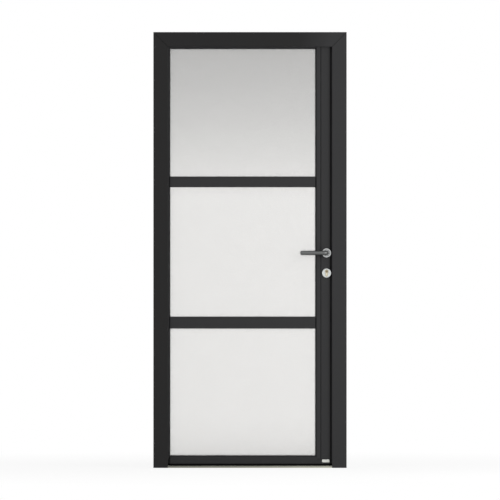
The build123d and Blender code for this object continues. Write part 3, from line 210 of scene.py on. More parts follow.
class Finish:
    """A material under way: its shader, its object coordinates and what finishes share."""

    # Grain and share of the unevenness in the painted light and shade that drifts across the door
    DRIFT_GRAIN, DRIFT_SHARE = 0.18, 0.12
    # The wave texture runs through 20 radians a metre at a scale of 1
    WAVE_RATE = 20
    RING_WOBBLE = 0.6
    # Sockets of the mix node for colours, by number because several share a name
    MIX_SHARE, MIX_UNDER, MIX_OVER, MIX_RESULT = 0, 6, 7, 2

    def __init__(self, name, sockets):
        self.material = bpy.data.materials.new(name)
        self.material.use_nodes = True
        self.nodes = self.material.node_tree.nodes
        self.links = self.material.node_tree.links
        self.shader = self.nodes["Principled BSDF"]
        self.place = self.nodes.new("ShaderNodeTexCoord").outputs["Object"]
        for socket, value in sockets.items():
            self.shader.inputs[socket].default_value = value

    def new(self, kind, inputs, **settings):
        """A node with its settings, and its inputs linked or set to a value."""
        node = self.nodes.new(kind)
        for setting, value in settings.items():
            setattr(node, setting, value)
        for socket, value in inputs.items():
            if isinstance(value, bpy.types.NodeSocket):
                self.links.new(value, node.inputs[socket])
            else:
                node.inputs[socket].default_value = value
        return node

    def noise(self, grain, detail=2.0, stretch=(1, 1, 1)):
        """Noise whose grain is a size in metres; stretch below 1 draws it out along that axis."""
        mapping = self.new("ShaderNodeMapping", {"Vector": self.place, "Scale": stretch})
        inputs = {"Vector": mapping.outputs["Vector"], "Scale": 1 / grain, "Detail": detail}
        return self.new("ShaderNodeTexNoise", inputs).outputs["Fac"]

    def share(self, axis, low, high):
        """0 to 1 along an axis, between two places in metres."""
        place = self.new("ShaderNodeSeparateXYZ", {"Vector": self.place}).outputs[axis]
        limits = {"Value": place, "From Min": low, "From Max": high}
        return self.new("ShaderNodeMapRange", limits).outputs["Result"]

    def across(self):
        """0 to 1 over the door's width, a little unevenly."""
        share = self.share("X", FRAME_LOW.x, FRAME_HIGH.x)
        inputs = {0: self.noise(self.DRIFT_GRAIN), 1: self.DRIFT_SHARE, 2: share}
        return self.new("ShaderNodeMath", inputs, operation="MULTIPLY_ADD").outputs["Value"]

    def reach(self, middle, radius):
        """Distance from an axis along Y, as a share of a radius."""
        flat = {"Vector": self.place, "Location": (-middle.x, 0, -middle.z), "Scale": (1, 0, 1)}
        offset = self.new("ShaderNodeMapping", flat).outputs["Vector"]
        distance = self.new("ShaderNodeVectorMath", {0: offset}, operation="LENGTH")
        limits = {"Value": distance.outputs["Value"], "From Max": radius}
        return self.new("ShaderNodeMapRange", limits).outputs["Result"]

    def rings(self, middle, spacing):
        """Turning marks round an axis along Y."""
        centred = {"Vector": self.place, "Location": -Vector(middle)}
        vector = self.new("ShaderNodeMapping", centred).outputs["Vector"]
        scale = 2 * math.pi / (self.WAVE_RATE * spacing)
        inputs = {"Vector": vector, "Scale": scale, "Distortion": self.RING_WOBBLE}
        settings = {"wave_type": "RINGS", "rings_direction": "Y"}
        return self.new("ShaderNodeTexWave", inputs, **settings).outputs["Fac"]

    def vary(self, source, socket, low, high):
        """Spread a pattern between two values of a shader socket."""
        limits = {"Value": source, "To Min": low, "To Max": high}
        node = self.new("ShaderNodeMapRange", limits)
        self.links.new(node.outputs["Result"], self.shader.inputs[socket])

    def ramp(self, source, stops):
        """A colour for each level of a pattern, with stops of (position, colour)."""
        node = self.new("ShaderNodeValToRGB", {"Fac": source})
        elements = node.color_ramp.elements
        while len(elements) < len(stops):
            elements.new(0.5)
        for element, (position, value) in zip(elements, stops):
            element.position = position
            element.color = (*value, 1)
        return node.outputs["Color"]

    def tint(self, source, stops):
        """Colour the surface by a pattern, with stops of (position, colour)."""
        self.links.new(self.ramp(source, stops), self.shader.inputs["Base Color"])

    def veil(self, source, levels):
        """Darken the surface's colour by a pattern, with stops of (position, share of it)."""
        base = self.shader.inputs["Base Color"]
        under = base.links[0].from_socket
        greys = self.ramp(source, [(position, (level,) * 3) for position, level in levels])
        inputs = {self.MIX_SHARE: 1.0, self.MIX_UNDER: under, self.MIX_OVER: greys}
        node = self.new("ShaderNodeMix", inputs, data_type="RGBA", blend_type="MULTIPLY")
        self.links.new(node.outputs[self.MIX_RESULT], base)

    def bump(self, source, depth, strength):
        """Relief of a depth in metres, on top of any relief already there."""
        inputs = {"Height": source, "Distance": depth, "Strength": strength}
        normal = self.shader.inputs["Normal"]
        if normal.is_linked:
            inputs["Normal"] = normal.links[0].from_socket
        node = self.new("ShaderNodeBump", inputs)
        self.links.new(node.outputs["Normal"], normal)


def shade(value, share):
    return tuple(min(1.0, channel * share) for channel in value)


def tones(value, levels):
    """Stops of (position, colour) from stops of (position, share of a colour)."""
    return [(position, shade(value, level)) for position, level in levels]


def powder_coat(name, stops):
    """Matt powder coat with a fine sandy grain; its stops paint light and shade on it across the door."""
    finish = Finish(name, {"Specular IOR Level": 0.22})
    sand = finish.noise(grain=0.0009, detail=3.0)
    finish.tint(finish.across(), stops)
    finish.veil(sand, [(0.35, 0.86), (0.65, 1.0)])
    finish.vary(sand, "Roughness", low=0.44, high=0.64)
    finish.bump(finish.noise(grain=0.0045), depth=0.0001, strength=0.4)
    finish.bump(sand, depth=0.00009, strength=0.7)
    return finish.material


def anodised(value):
    """Natural anodised extrusion with draw lines along it; painted shade darkens it to the left of the door and
    painted light lifts it to the right.
    """
    finish = Finish("anodised_sill_painted_shade", {"Metallic": 0.85})
    lines = finish.noise(grain=0.0016, detail=4.0, stretch=(0.02, 1, 1))
    # Painted shade darkens the sill towards the left, painted light lifts it towards the right
    finish.tint(finish.across(), tones(value, [(0.05, 0.7), (0.55, 1.0), (1.0, 1.5)]))
    finish.veil(lines, [(0.3, 0.9), (0.7, 1.0)])
    finish.vary(lines, "Roughness", low=0.36, high=0.56)
    finish.bump(lines, depth=0.00004, strength=0.5)
    return finish.material


def soft_black(name, value, grain, low, high, gloss=0.25):
    """Rubber, plastic and sealant: dull black with a moulded grain, rough between low and high."""
    finish = Finish(name, {"Specular IOR Level": gloss})
    speck = finish.noise(grain, detail=3.0)
    finish.tint(speck, tones(value, [(0.3, 0.75), (0.75, 1.4)]))
    finish.vary(finish.noise(grain=0.03), "Roughness", low, high)
    finish.bump(speck, depth=0.00006, strength=0.4)
    return finish.material


def etched_pane(value, levels):
    """Acid-etched glass: satin, passing light but no picture; levels paint shade on it by its height."""
    sockets = {"Transmission Weight": 0.85, "IOR": 1.5, "Specular IOR Level": 0.08}
    finish = Finish("etched_glass_painted_shade", sockets)
    # Painted shade by the pane's height
    finish.tint(finish.share("Z", GLASS_LOW.z, GLASS_HIGH.z), tones(value, levels))
    finish.veil(finish.noise(grain=0.028, detail=3.0), [(0.0, 0.955), (1.0, 1.0)])
    satin = finish.noise(grain=0.0007, detail=3.0)
    finish.vary(satin, "Roughness", low=0.22, high=0.3)
    finish.bump(satin, depth=0.00003, strength=0.3)
    return finish.material


def clear_pane(value):
    """Float glass with a slight waviness."""
    sockets = {"Transmission Weight": 1.0, "IOR": 1.5, "Base Color": (*value, 1)}
    finish = Finish("clear_glass", sockets)
    wave = finish.noise(grain=0.25, detail=1.0)
    finish.vary(wave, "Roughness", low=0.015, high=0.03)
    finish.bump(wave, depth=0.0002, strength=0.15)
    return finish.material


def brushed(name, value, stretch, low=0.26, high=0.42):
    """Brushed stainless steel; stretch below 1 draws the brush lines along that axis."""
    finish = Finish(name, {"Metallic": 1.0, "Anisotropic": 0.35})
    lines = finish.noise(grain=0.0007, detail=4.0, stretch=stretch)
    finish.tint(lines, tones(value, [(0.25, 0.8), (0.75, 1.18)]))
    finish.vary(finish.noise(grain=0.0011, detail=3.0, stretch=stretch), "Roughness", low, high)
    finish.bump(lines, depth=0.00002, strength=0.35)
    return finish.material


def turned(name, value, middle, radius=1.0, levels=()):
    """Metal faced on a lathe, with fine rings round its axis; levels paint shade on it by its radius."""
    finish = Finish(name, {"Metallic": 1.0})
    rings = finish.rings(middle, spacing=0.0006)
    cloud = finish.noise(grain=0.012, detail=3.0)
    finish.tint(cloud, tones(value, [(0.3, 0.86), (0.7, 1.1)]))
    if levels:
        finish.veil(finish.reach(middle, radius), levels)
    finish.vary(rings, "Roughness", low=0.2, high=0.34)
    finish.bump(rings, depth=0.00002, strength=0.3)
    return finish.material


def zinc_plate(name, value):
    """Zinc-plated steel with its cloudy, slightly warm tone."""
    finish = Finish(name, {"Metallic": 1.0})
    cloud = finish.noise(grain=0.014, detail=4.0)
    warm = [channel * share for channel, share in zip(value, (1.12, 1.06, 0.92))]
    finish.tint(cloud, [(0.3, shade(value, 0.85)), (0.7, warm)])
    finish.vary(finish.noise(grain=0.004, detail=3.0), "Roughness", low=0.28, high=0.45)
    finish.bump(finish.noise(grain=0.0012, detail=3.0), depth=0.00003, strength=0.3)
    return finish.material


def satin_plate(value):
    """Satin white plate with a faint grain."""
    finish = Finish("badge_satin", {"Specular IOR Level": 0.4})
    grain = finish.noise(grain=0.0012, detail=3.0)
    finish.tint(grain, tones(value, [(0.3, 0.96), (0.7, 1.03)]))
    finish.vary(grain, "Roughness", low=0.32, high=0.44)
    finish.bump(grain, depth=0.00002, strength=0.3)
    return finish.material


def dress(material, *names):
    """Give CAD nodes a finish in each of their material slots."""
    for name in names:
        slots = frame["nodes"][name].data.materials
        for index in range(len(slots)):
            slots[index] = material


# Modelling helpers


def start():
    """Object mode with nothing selected, as every new piece starts."""
    if bpy.context.mode != "OBJECT":
        bpy.ops.object.mode_set(mode="OBJECT")
    bpy.ops.object.select_all(action="DESELECT")


def edit(piece):
    """Edit mode on one piece with nothing selected in it."""
    start()
    piece.select_set(True)
    bpy.context.view_layer.objects.active = piece
    bpy.ops.object.mode_set(mode="EDIT")
    bpy.ops.mesh.select_all(action="DESELECT")
    return bmesh.from_edit_mesh(piece.data)


def pick_faces(mesh, test):
    bpy.ops.mesh.select_mode(type="FACE")
    for face in mesh.faces:
        face.select_set(test(face))


def pick_edges(mesh, test):
    bpy.ops.mesh.select_mode(type="EDGE")
    for edge in mesh.edges:
        edge.select_set(test(edge))


def pick_top(mesh):
    level = max(face.calc_center_median().z for face in mesh.faces) - LEVEL_WITHIN
    pick_faces(mesh, lambda f: f.normal.z > UPWARD_PART and f.calc_center_median().z > level)


def step_in(steps, width, rise):
    """Inset the selected face in steps: shares of a width inwards and of a rise upwards."""
    for share, lift in steps:
        bpy.ops.mesh.inset(thickness=width * share, depth=rise * lift)


def settle(piece):
    """Leave edit mode, put the piece's place into its mesh and smooth its round faces."""
    bpy.ops.object.mode_set(mode="OBJECT")
    bpy.ops.object.transform_apply(location=True, rotation=True, scale=True)
    bpy.ops.object.shade_smooth_by_angle(angle=SMOOTH_ANGLE)
    return piece


def plate(name, width, depth, rise):
    """A flat block on the floor plane, centred, ready to be shaped."""
    start()
    bpy.ops.mesh.primitive_cube_add(size=1, location=(0, 0, rise / 2))
    piece = bpy.context.object
    piece.name = name
    piece.scale = (width, depth, rise)
    bpy.ops.object.transform_apply(location=True, rotation=True, scale=True)
    return piece


def disc(name, radius, rise, sides):
    """A flat round head on the floor plane, ready to be shaped."""
    start()
    bpy.ops.mesh.primitive_cylinder_add(
        vertices=sides, radius=radius, depth=rise, location=(0, 0, rise / 2)
    )
    piece = bpy.context.object
    piece.name = name
    bpy.ops.object.transform_apply(location=True, rotation=True, scale=True)
    return piece


def cut(piece, cutter):
    """Take a cutter out of a piece with an applied boolean."""
    start()
    piece.select_set(True)
    bpy.context.view_layer.objects.active = piece
    modifier = piece.modifiers.new("socket", "BOOLEAN")
    modifier.operation = "DIFFERENCE"
    modifier.solver = "EXACT"
    modifier.object = cutter
    bpy.ops.object.modifier_apply(modifier=modifier.name)
    discard(cutter)


def discard(piece):
    bpy.data.objects.remove(piece)


def facing(normal, spot):
    """Turns a piece modelled along +Z to face a normal and puts it on a spot."""
    turn = Vector(normal).to_track_quat("Z", "Y").to_matrix().to_4x4()
    return Matrix.Translation(Vector(spot)) @ turn


def lay_out(pattern, name, places, body, material):
    """Copy a pattern to each place, join the copies into one piece and let it ride on a body."""
    start()
    copies = []
    for place in places:
        copy = pattern.copy()
        copy.data = pattern.data.copy()
        copy.data.transform(place)
        bpy.context.collection.objects.link(copy)
        copies.append(copy)
    for copy in copies:
        copy.select_set(True)
    piece = copies[0]
    bpy.context.view_layer.objects.active = piece
    if len(copies) > 1:
        bpy.ops.object.join()
    piece.name = name
    piece.data.name = name
    piece.data.materials.clear()
    piece.data.materials.append(material)
    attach(piece, body)


def screw_pattern(sizes):
    """A low screw head with a crowned top and a hexagon socket half its depth."""
    radius, rise = sizes.screw_radius, sizes.screw_rise
    piece = disc("screw_pattern", radius, rise, sides=24)
    pick_top(edit(piece))
    step_in(SCREW_CROWN, radius, rise)
    settle(piece)
    start()
    socket_floor, socket_depth = rise / 2, rise * 2
    bpy.ops.mesh.primitive_cylinder_add(
        vertices=6,
        radius=sizes.screw_socket,
        depth=socket_depth,
        location=(0, 0, socket_floor + socket_depth / 2),
    )
    cut(piece, bpy.context.object)
    return piece


def cap_pattern(name, radius, rise):
    """A shallow plastic cap with a rounded rim and a slight crown."""
    piece = disc(name, radius, rise, sides=32)
    pick_top(edit(piece))
    step_in(CAP_CROWN, radius, rise)
    rim, waist = radius * RIM_FROM, rise / 2
    pick_edges(
        edit(piece),
        lambda edge: all(v.co.xy.length > rim and v.co.z > waist for v in edge.verts),
    )
    bpy.ops.mesh.bevel(offset=rise * CAP_ROUNDING, segments=3, affect="EDGES")
    return settle(piece)


def line_pattern(name, run, width, rise):
    """A bead of joint sealant, rounded along its upper edges."""
    piece = plate(name, run, width, rise)
    pick_edges(edit(piece), lambda edge: all(v.co.z > rise / 2 for v in edge.verts))
    bpy.ops.mesh.bevel(offset=rise * LINE_ROUNDING, segments=2, affect="EDGES")
    return settle(piece)


# Operators


class DOOR_OT_coat_profiles(bpy.types.Operator):
    """Powder coat on frame, leaf, bars, beads and hinges, with painted light and shade across the door"""

    bl_idname = "door.coat_profiles"
    bl_label = "Coat profiles"

    OUTER_FRAME = ("hinge_jamb_outer_shell", "head_outer_shell", "lock_jamb_outer_shell")
    # Share of the coat's tone from the left of the door to its right: painted light and shade, darker to the left
    # and lighter to the right, and the rail darker all along
    LEAF_PAINTED_LIGHT_AND_SHADE = ((0.0, 0.97), (1.0, 1.03))
    RAIL_PAINTED_SHADE = ((0.0, 0.7), (1.0, 0.88))
    # Up to where across the door the frame's coat is darkened with painted shade, and from where it has the leaf's
    # coat
    DEEP_TO, COAT_FROM = 0.84, 0.97

    def execute(self, context):
        coat, shaded_frame_coat = context.scene.door_colours.coat, context.scene.door_colours.coat_in_painted_shade
        # Painted light and shade across the leaf, and painted shade along the rail
        leaf_coat = powder_coat("anthracite_leaf_coat_painted_light_and_shade", tones(coat, self.LEAF_PAINTED_LIGHT_AND_SHADE))
        dress(leaf_coat, *NODES_BY_SLOT["anthracite_coat"])
        # Painted shade on the frame's coat towards the hinge side
        painted_shade_drift = [(0.0, shaded_frame_coat), (self.DEEP_TO, shaded_frame_coat), (self.COAT_FROM, coat)]
        dress(powder_coat("anthracite_frame_coat_painted_shade", painted_shade_drift), *self.OUTER_FRAME)
        rail_coat = powder_coat("anthracite_rail_coat_painted_shade", tones(coat, self.RAIL_PAINTED_SHADE))
        dress(rail_coat, "bottom_rail_outer_shell")
        return {"FINISHED"}


class DOOR_OT_finish_sill(bpy.types.Operator):
    """Anodised threshold and corner cleats, and black polyamide on strips, spacer and blocks"""

    bl_idname = "door.finish_sill"
    bl_label = "Finish sill and strips"

    def execute(self, context):
        colours = context.scene.door_colours
        dress(anodised(colours.sill), *NODES_BY_SLOT["mill_aluminium"])
        strips = soft_black("black_polyamide", colours.polyamide, grain=0.0007, low=0.5, high=0.68)
        dress(strips, *NODES_BY_SLOT["polyamide"])
        return {"FINISHED"}


class DOOR_OT_finish_seals(bpy.types.Operator):
    """Black rubber on seals and glazing gaskets; on the sweep seals darker with painted shade, and duller"""

    bl_idname = "door.finish_seals"
    bl_label = "Finish seals"

    def execute(self, context):
        colours = context.scene.door_colours
        black = soft_black("black_rubber", colours.rubber, grain=0.0012, low=0.62, high=0.82)
        dress(black, *NODES_BY_SLOT["black_rubber"])
        # Painted shade darkens the sweep seals
        sweep_painted_shade = soft_black(
            "sweep_rubber_painted_shade", colours.sweep_rubber_painted_shade, grain=0.0012, low=0.7, high=0.88, gloss=0.04
        )
        dress(sweep_painted_shade, "sweep_seals")
        return {"FINISHED"}


class DOOR_OT_glaze(bpy.types.Operator):
    """Etched outer pane and clear inner pane"""

    bl_idname = "door.glaze"
    bl_label = "Glaze"

    # Painted shade on the etched pane, from the foot of the glass to its head: a little darker at the foot and
    # much darker towards the head
    PAINTED_SHADE_BY_HEIGHT = (
        (0.0, 0.88), (0.03, 0.94), (0.05, 0.97), (0.1, 1.0), (0.63, 0.995),
        (0.715, 0.895), (0.81, 0.784), (0.91, 0.688), (1.0, 0.622),
    )

    def execute(self, context):
        colours = context.scene.door_colours
        dress(etched_pane(colours.glass, self.PAINTED_SHADE_BY_HEIGHT), "outer_pane")
        dress(clear_pane(colours.clear_glass), "inner_pane")
        return {"FINISHED"}


class DOOR_OT_finish_furniture(bpy.types.Operator):
    """Stainless levers, roses, thumb turn, faceplate and strikes"""

    bl_idname = "door.finish_furniture"
    bl_label = "Finish furniture"

    # How light the lever rose is from its axis outwards: a ring inside its rim is darkened with painted shade, and
    # the middle a little
    PAINTED_RING_SHADE = ((0.0, 0.9), (0.55, 0.9), (0.58, 0.42), (0.72, 0.42), (0.76, 1.0))
    # Brush lines drawn out along the levers, and along the upright plates
    ALONG_LEVER, ALONG_PLATE = (0.03, 1, 1), (1, 1, 0.03)

    def execute(self, context):
        colours = context.scene.door_colours
        levers = brushed("brushed_lever", colours.lever, self.ALONG_LEVER, low=0.38, high=0.52)
        dress(levers, "outer_lever", "inner_lever")
        # The lever roses carry a ring of painted shade
        lever_rose = turned(
            "turned_lever_rose_painted_shade", colours.lever_rose, LEVER_CENTRE, ROSE_RADIUS, self.PAINTED_RING_SHADE
        )
        dress(lever_rose, "outer_lever_rose", "inner_lever_rose")
        bright = turned("turned_cylinder_rose", colours.rose, CYLINDER_ROSE_CENTRE)
        dress(bright, "outer_cylinder_rose", "inner_cylinder_rose", "thumb_turn")
        plates = brushed("brushed_plate", colours.plate, self.ALONG_PLATE)
        dress(plates, "lock_faceplate", "main_strike", "bolt_strikes")
        return {"FINISHED"}


class DOOR_OT_finish_lock(bpy.types.Operator):
    """Plated steel and brass of the lock"""

    bl_idname = "door.finish_lock"
    bl_label = "Finish lock"

    def execute(self, context):
        colours = context.scene.door_colours
        dress(zinc_plate("zinc_plated_steel", colours.steel), *NODES_BY_SLOT["lock_steel"])
        dress(turned("pale_brass", colours.brass, PLUG_CENTRE), "cylinder_body")
        dress(turned("plug_brass", colours.plug_brass, PLUG_CENTRE), "key_plug", "cylinder_cam")
        return {"FINISHED"}


class DOOR_OT_add_joint_lines(bpy.types.Operator):
    """Hairlines where profiles meet, near black for sealant and for painted shade in the joint: the mitres and the
    foot of the lock stile
    """

    bl_idname = "door.add_joint_lines"
    bl_label = "Add joint lines"

    # How far a line stays clear of the two edges it runs between
    TRIM = 0.0016

    def draw_line(self, sizes, outer, inner, y, side):
        """Pattern and place of a line between two points (x, z) of a face."""
        outer, inner = Vector(outer), Vector(inner)
        run = (inner - outer).length - 2 * self.TRIM
        pattern = line_pattern("joint_pattern", run, sizes.sealant_width, sizes.sealant_rise)
        middle = (outer + inner) / 2
        lean = math.atan2(inner.y - outer.y, inner.x - outer.x)
        upright = Matrix.Rotation(QUARTER_TURN * -side, 4, "X")
        turn = Matrix.Rotation(-lean, 4, "Y")
        return pattern, Matrix.Translation(Vector((middle.x, y, middle.y))) @ turn @ upright

    def execute(self, context):
        sizes = context.scene.door_sizes
        sealant = context.scene.door_colours.sealant
        # Near-black hairlines: sealant, and painted shade in the joints
        black = soft_black("joint_sealant_and_painted_shade", sealant, grain=0.002, low=0.6, high=0.75, gloss=0.03)
        left, right, top, front = FRAME_LOW.x, FRAME_HIGH.x, FRAME_HIGH.z, FRAME_LOW.y
        lip, rebate = LIP_INSIDE, REBATE_FACE
        sash_width = SASH_HIGH.x - SASH_LOW.x
        leaf_corner = (SASH_LOW.x, SASH_HIGH.z), (SASH_HIGH.x, SASH_HIGH.z - sash_width)
        stile_foot = (STILE_LOW.x, STILE_LOW.z), (-lip - sizes.face_gap, STILE_LOW.z)
        frame_lines = (
            ("joint_outer_left", (left, top), (lip, HEAD_LIP), front, OUTWARDS),
            ("joint_outer_right", (right, top), (-lip, HEAD_LIP), front, OUTWARDS),
            ("joint_inner_left", (left, top), (-rebate, HEAD_REBATE), ROOM_FACE, INWARDS),
            ("joint_inner_right", (right, top), (rebate, HEAD_REBATE), ROOM_FACE, INWARDS),
        )
        leaf_lines = (
            ("joint_leaf_corner", *leaf_corner, ROOM_FACE, INWARDS),
            ("joint_stile_foot", *stile_foot, LEAF_FRONT, OUTWARDS),
        )
        for body, lines in (("frame", frame_lines), ("leaf", leaf_lines)):
            for name, outer, inner, y, side in lines:
                pattern, place = self.draw_line(sizes, outer, inner, y, side)
                lay_out(pattern, name, [place], body, black)
                discard(pattern)
        return {"FINISHED"}


class DOOR_OT_add_hinge_fittings(bpy.types.Operator):
    """Screws in the hinge plates and caps on the hinge barrels"""

    bl_idname = "door.add_hinge_fittings"
    bl_label = "Add hinge fittings"

    def execute(self, context):
        sizes, colours = context.scene.door_sizes, context.scene.door_colours
        half = sizes.hinge_length / 2
        low, high = HINGE_LOW.z + half, HINGE_HIGH.z - half
        heights = (low, (low + high) / 2, high)
        steps = (-sizes.hinge_screw_step, 0, sizes.hinge_screw_step)
        screw_heights = [z + step for z in heights for step in steps]
        face = ROOM_FACE + sizes.hinge_plate
        steel = zinc_plate("screw_steel", colours.steel)
        screw = screw_pattern(sizes)
        for name, x, body in (
            ("hinge_frame_screws", HINGE_LOW.x + sizes.hinge_screw_inset, "frame"),
            ("hinge_leaf_screws", HINGE_LEAF_HIGH.x - sizes.hinge_screw_inset, "leaf"),
        ):
            places = [facing((0, 1, 0), (x, face, z)) for z in screw_heights]
            lay_out(screw, name, places, body, steel)
        discard(screw)
        plastic = soft_black("hinge_cap_plastic", colours.cap, grain=0.0008, low=0.45, high=0.6)
        cap = cap_pattern("hinge_cap_pattern", sizes.barrel_radius, sizes.barrel_rise)
        for name, end, body in (("hinge_foot_caps", -1, "frame"), ("hinge_head_caps", 1, "leaf")):
            spots = [(HINGE_AXIS.x, HINGE_AXIS.y, z + end * half) for z in heights]
            places = [facing((0, 0, end), spot) for spot in spots]
            lay_out(cap, name, places, body, plastic)
        discard(cap)
        return {"FINISHED"}


class DOOR_OT_add_plate_screws(bpy.types.Operator):
    """Screws in the faceplate and the strikes, and the cylinder's retaining screw"""

    bl_idname = "door.add_plate_screws"
    bl_label = "Add plate screws"

    # Where the faceplate is screwed, as shares of its length between its end screws
    FACEPLATE_SHARES = (0.0, 0.19, 0.31, 0.39, 0.53, 0.66, 0.78, 1.0)
    # How far the retaining screw lies under the key plug's axis
    RETAINING_DROP = 0.012

    def execute(self, context):
        sizes = context.scene.door_sizes
        steel = bpy.data.materials["screw_steel"]
        screw = screw_pattern(sizes)
        inset = sizes.plate_screw_inset
        low, high = FACEPLATE_LOW.z + inset, FACEPLATE_HIGH.z - inset
        heights = [low + (high - low) * share for share in self.FACEPLATE_SHARES]
        heights.append(PLUG_CENTRE.z - self.RETAINING_DROP)
        places = [facing((1, 0, 0), (LEAF_EDGE, BOLT_LINE, z)) for z in heights]
        lay_out(screw, "faceplate_screws", places, "leaf", steel)
        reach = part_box("bolt_strikes")[1].z - END_BOLT_HIGH - inset
        heights = [STRIKE_LOW.z + inset, STRIKE_HIGH.z - inset]
        heights += [z + side * reach for z in (END_BOLT_LOW, END_BOLT_HIGH) for side in (-1, 1)]
        places = [facing((-1, 0, 0), (STRIKE_LOW.x, BOLT_LINE, z)) for z in heights]
        lay_out(screw, "strike_screws", places, "frame", steel)
        discard(screw)
        return {"FINISHED"}


class DOOR_OT_add_strike_packers(bpy.types.Operator):
    """Packers that fill the routed thermal strip above and below the main strike"""

    bl_idname = "door.add_strike_packers"
    bl_label = "Add strike packers"

    # Steps of the dished face inwards, as shares of the width and of the thickness
    DISH_STEPS = ((0.14, 0.0), (0.05, -0.35))

    def execute(self, context):
        sizes = context.scene.door_sizes
        width, thickness = sizes.packer_width, sizes.packer_thickness
        polyamide = context.scene.door_colours.polyamide
        plastic = soft_black("packer_plastic", polyamide, grain=0.0008, low=0.5, high=0.66)
        back = STRIKE_HIGH.x + sizes.packer_recess + thickness
        for name, low, high in (
            ("lower_packer", CASE_LOW.z, STRIKE_LOW.z),
            ("upper_packer", STRIKE_HIGH.z, CASE_HIGH.z),
        ):
            pattern = plate("packer_pattern", width, high - low, thickness)
            pick_top(edit(pattern))
            step_in(self.DISH_STEPS, width, thickness)
            settle(pattern)
            place = facing((-1, 0, 0), (back, BOLT_LINE, (low + high) / 2))
            lay_out(pattern, name, [place], "frame", plastic)
            discard(pattern)
        return {"FINISHED"}


class DOOR_OT_add_fixing_caps(bpy.types.Operator):
    """Caps over the wall fixings in the rebate"""

    bl_idname = "door.add_fixing_caps"
    bl_label = "Add fixing caps"

    def execute(self, context):
        sizes = context.scene.door_sizes
        black = context.scene.door_colours.cap
        plastic = soft_black("fixing_cap_plastic", black, grain=0.0009, low=0.42, high=0.58)
        cap = cap_pattern("fixing_cap_pattern", sizes.cap_radius, sizes.cap_rise)
        places = []
        for mount in frame["record"]["mounts"]:
            if mount["kind"] != "bolt_pattern":
                continue
            x, y, z = mount["pos_m"]
            dims = mount["dims"]
            for end in (-1, 1):
                if "spacing_y_mm" in dims:
                    side = math.copysign(1, x)
                    offset = end * dims["spacing_y_mm"] / MM_PER_M / 2
                    places.append(facing((-side, 0, 0), (side * REBATE_FACE, y, z + offset)))
                else:
                    offset = end * dims["spacing_x_mm"] / MM_PER_M / 2
                    places.append(facing((0, 0, -1), (x + offset, y, HEAD_REBATE)))
        lay_out(cap, "fixing_caps", places, "frame", plastic)
        discard(cap)
        return {"FINISHED"}


class DOOR_OT_add_badge(bpy.types.Operator):
    """Blank plate at the right end of the bottom rail"""

    bl_idname = "door.add_badge"
    bl_label = "Add blank plate"

    # Steps of the rim inwards, as shares of the corner radius and of the thickness; together they
    # stay inside the corner radius
    RIM_STEPS = ((0.25, 0.2), (0.2, 0.0), (0.12, -0.15), (0.1, 0.0))

    def execute(self, context):
        sizes = context.scene.door_sizes
        rise = sizes.badge_thickness
        piece = plate("badge_pattern", sizes.badge_width, sizes.badge_height, rise)
        pick_edges(edit(piece), lambda e: abs(e.verts[0].co.z - e.verts[1].co.z) > rise / 2)
        bpy.ops.mesh.bevel(offset=sizes.badge_corner, segments=5, affect="EDGES")
        pick_top(edit(piece))
        step_in(self.RIM_STEPS, sizes.badge_corner, rise)
        settle(piece)
        x = -LIP_INSIDE - sizes.face_gap - sizes.badge_from_edge - sizes.badge_width / 2
        z = RAIL_LOW.z + sizes.badge_from_bottom + sizes.badge_height / 2
        upright = Matrix.Rotation(QUARTER_TURN, 4, "X")
        place = Matrix.Translation(Vector((x, LEAF_FRONT, z))) @ upright
        white = satin_plate(context.scene.door_colours.badge)
        lay_out(piece, "blank_badge", [place], "leaf", white)
        discard(piece)
        return {"FINISHED"}


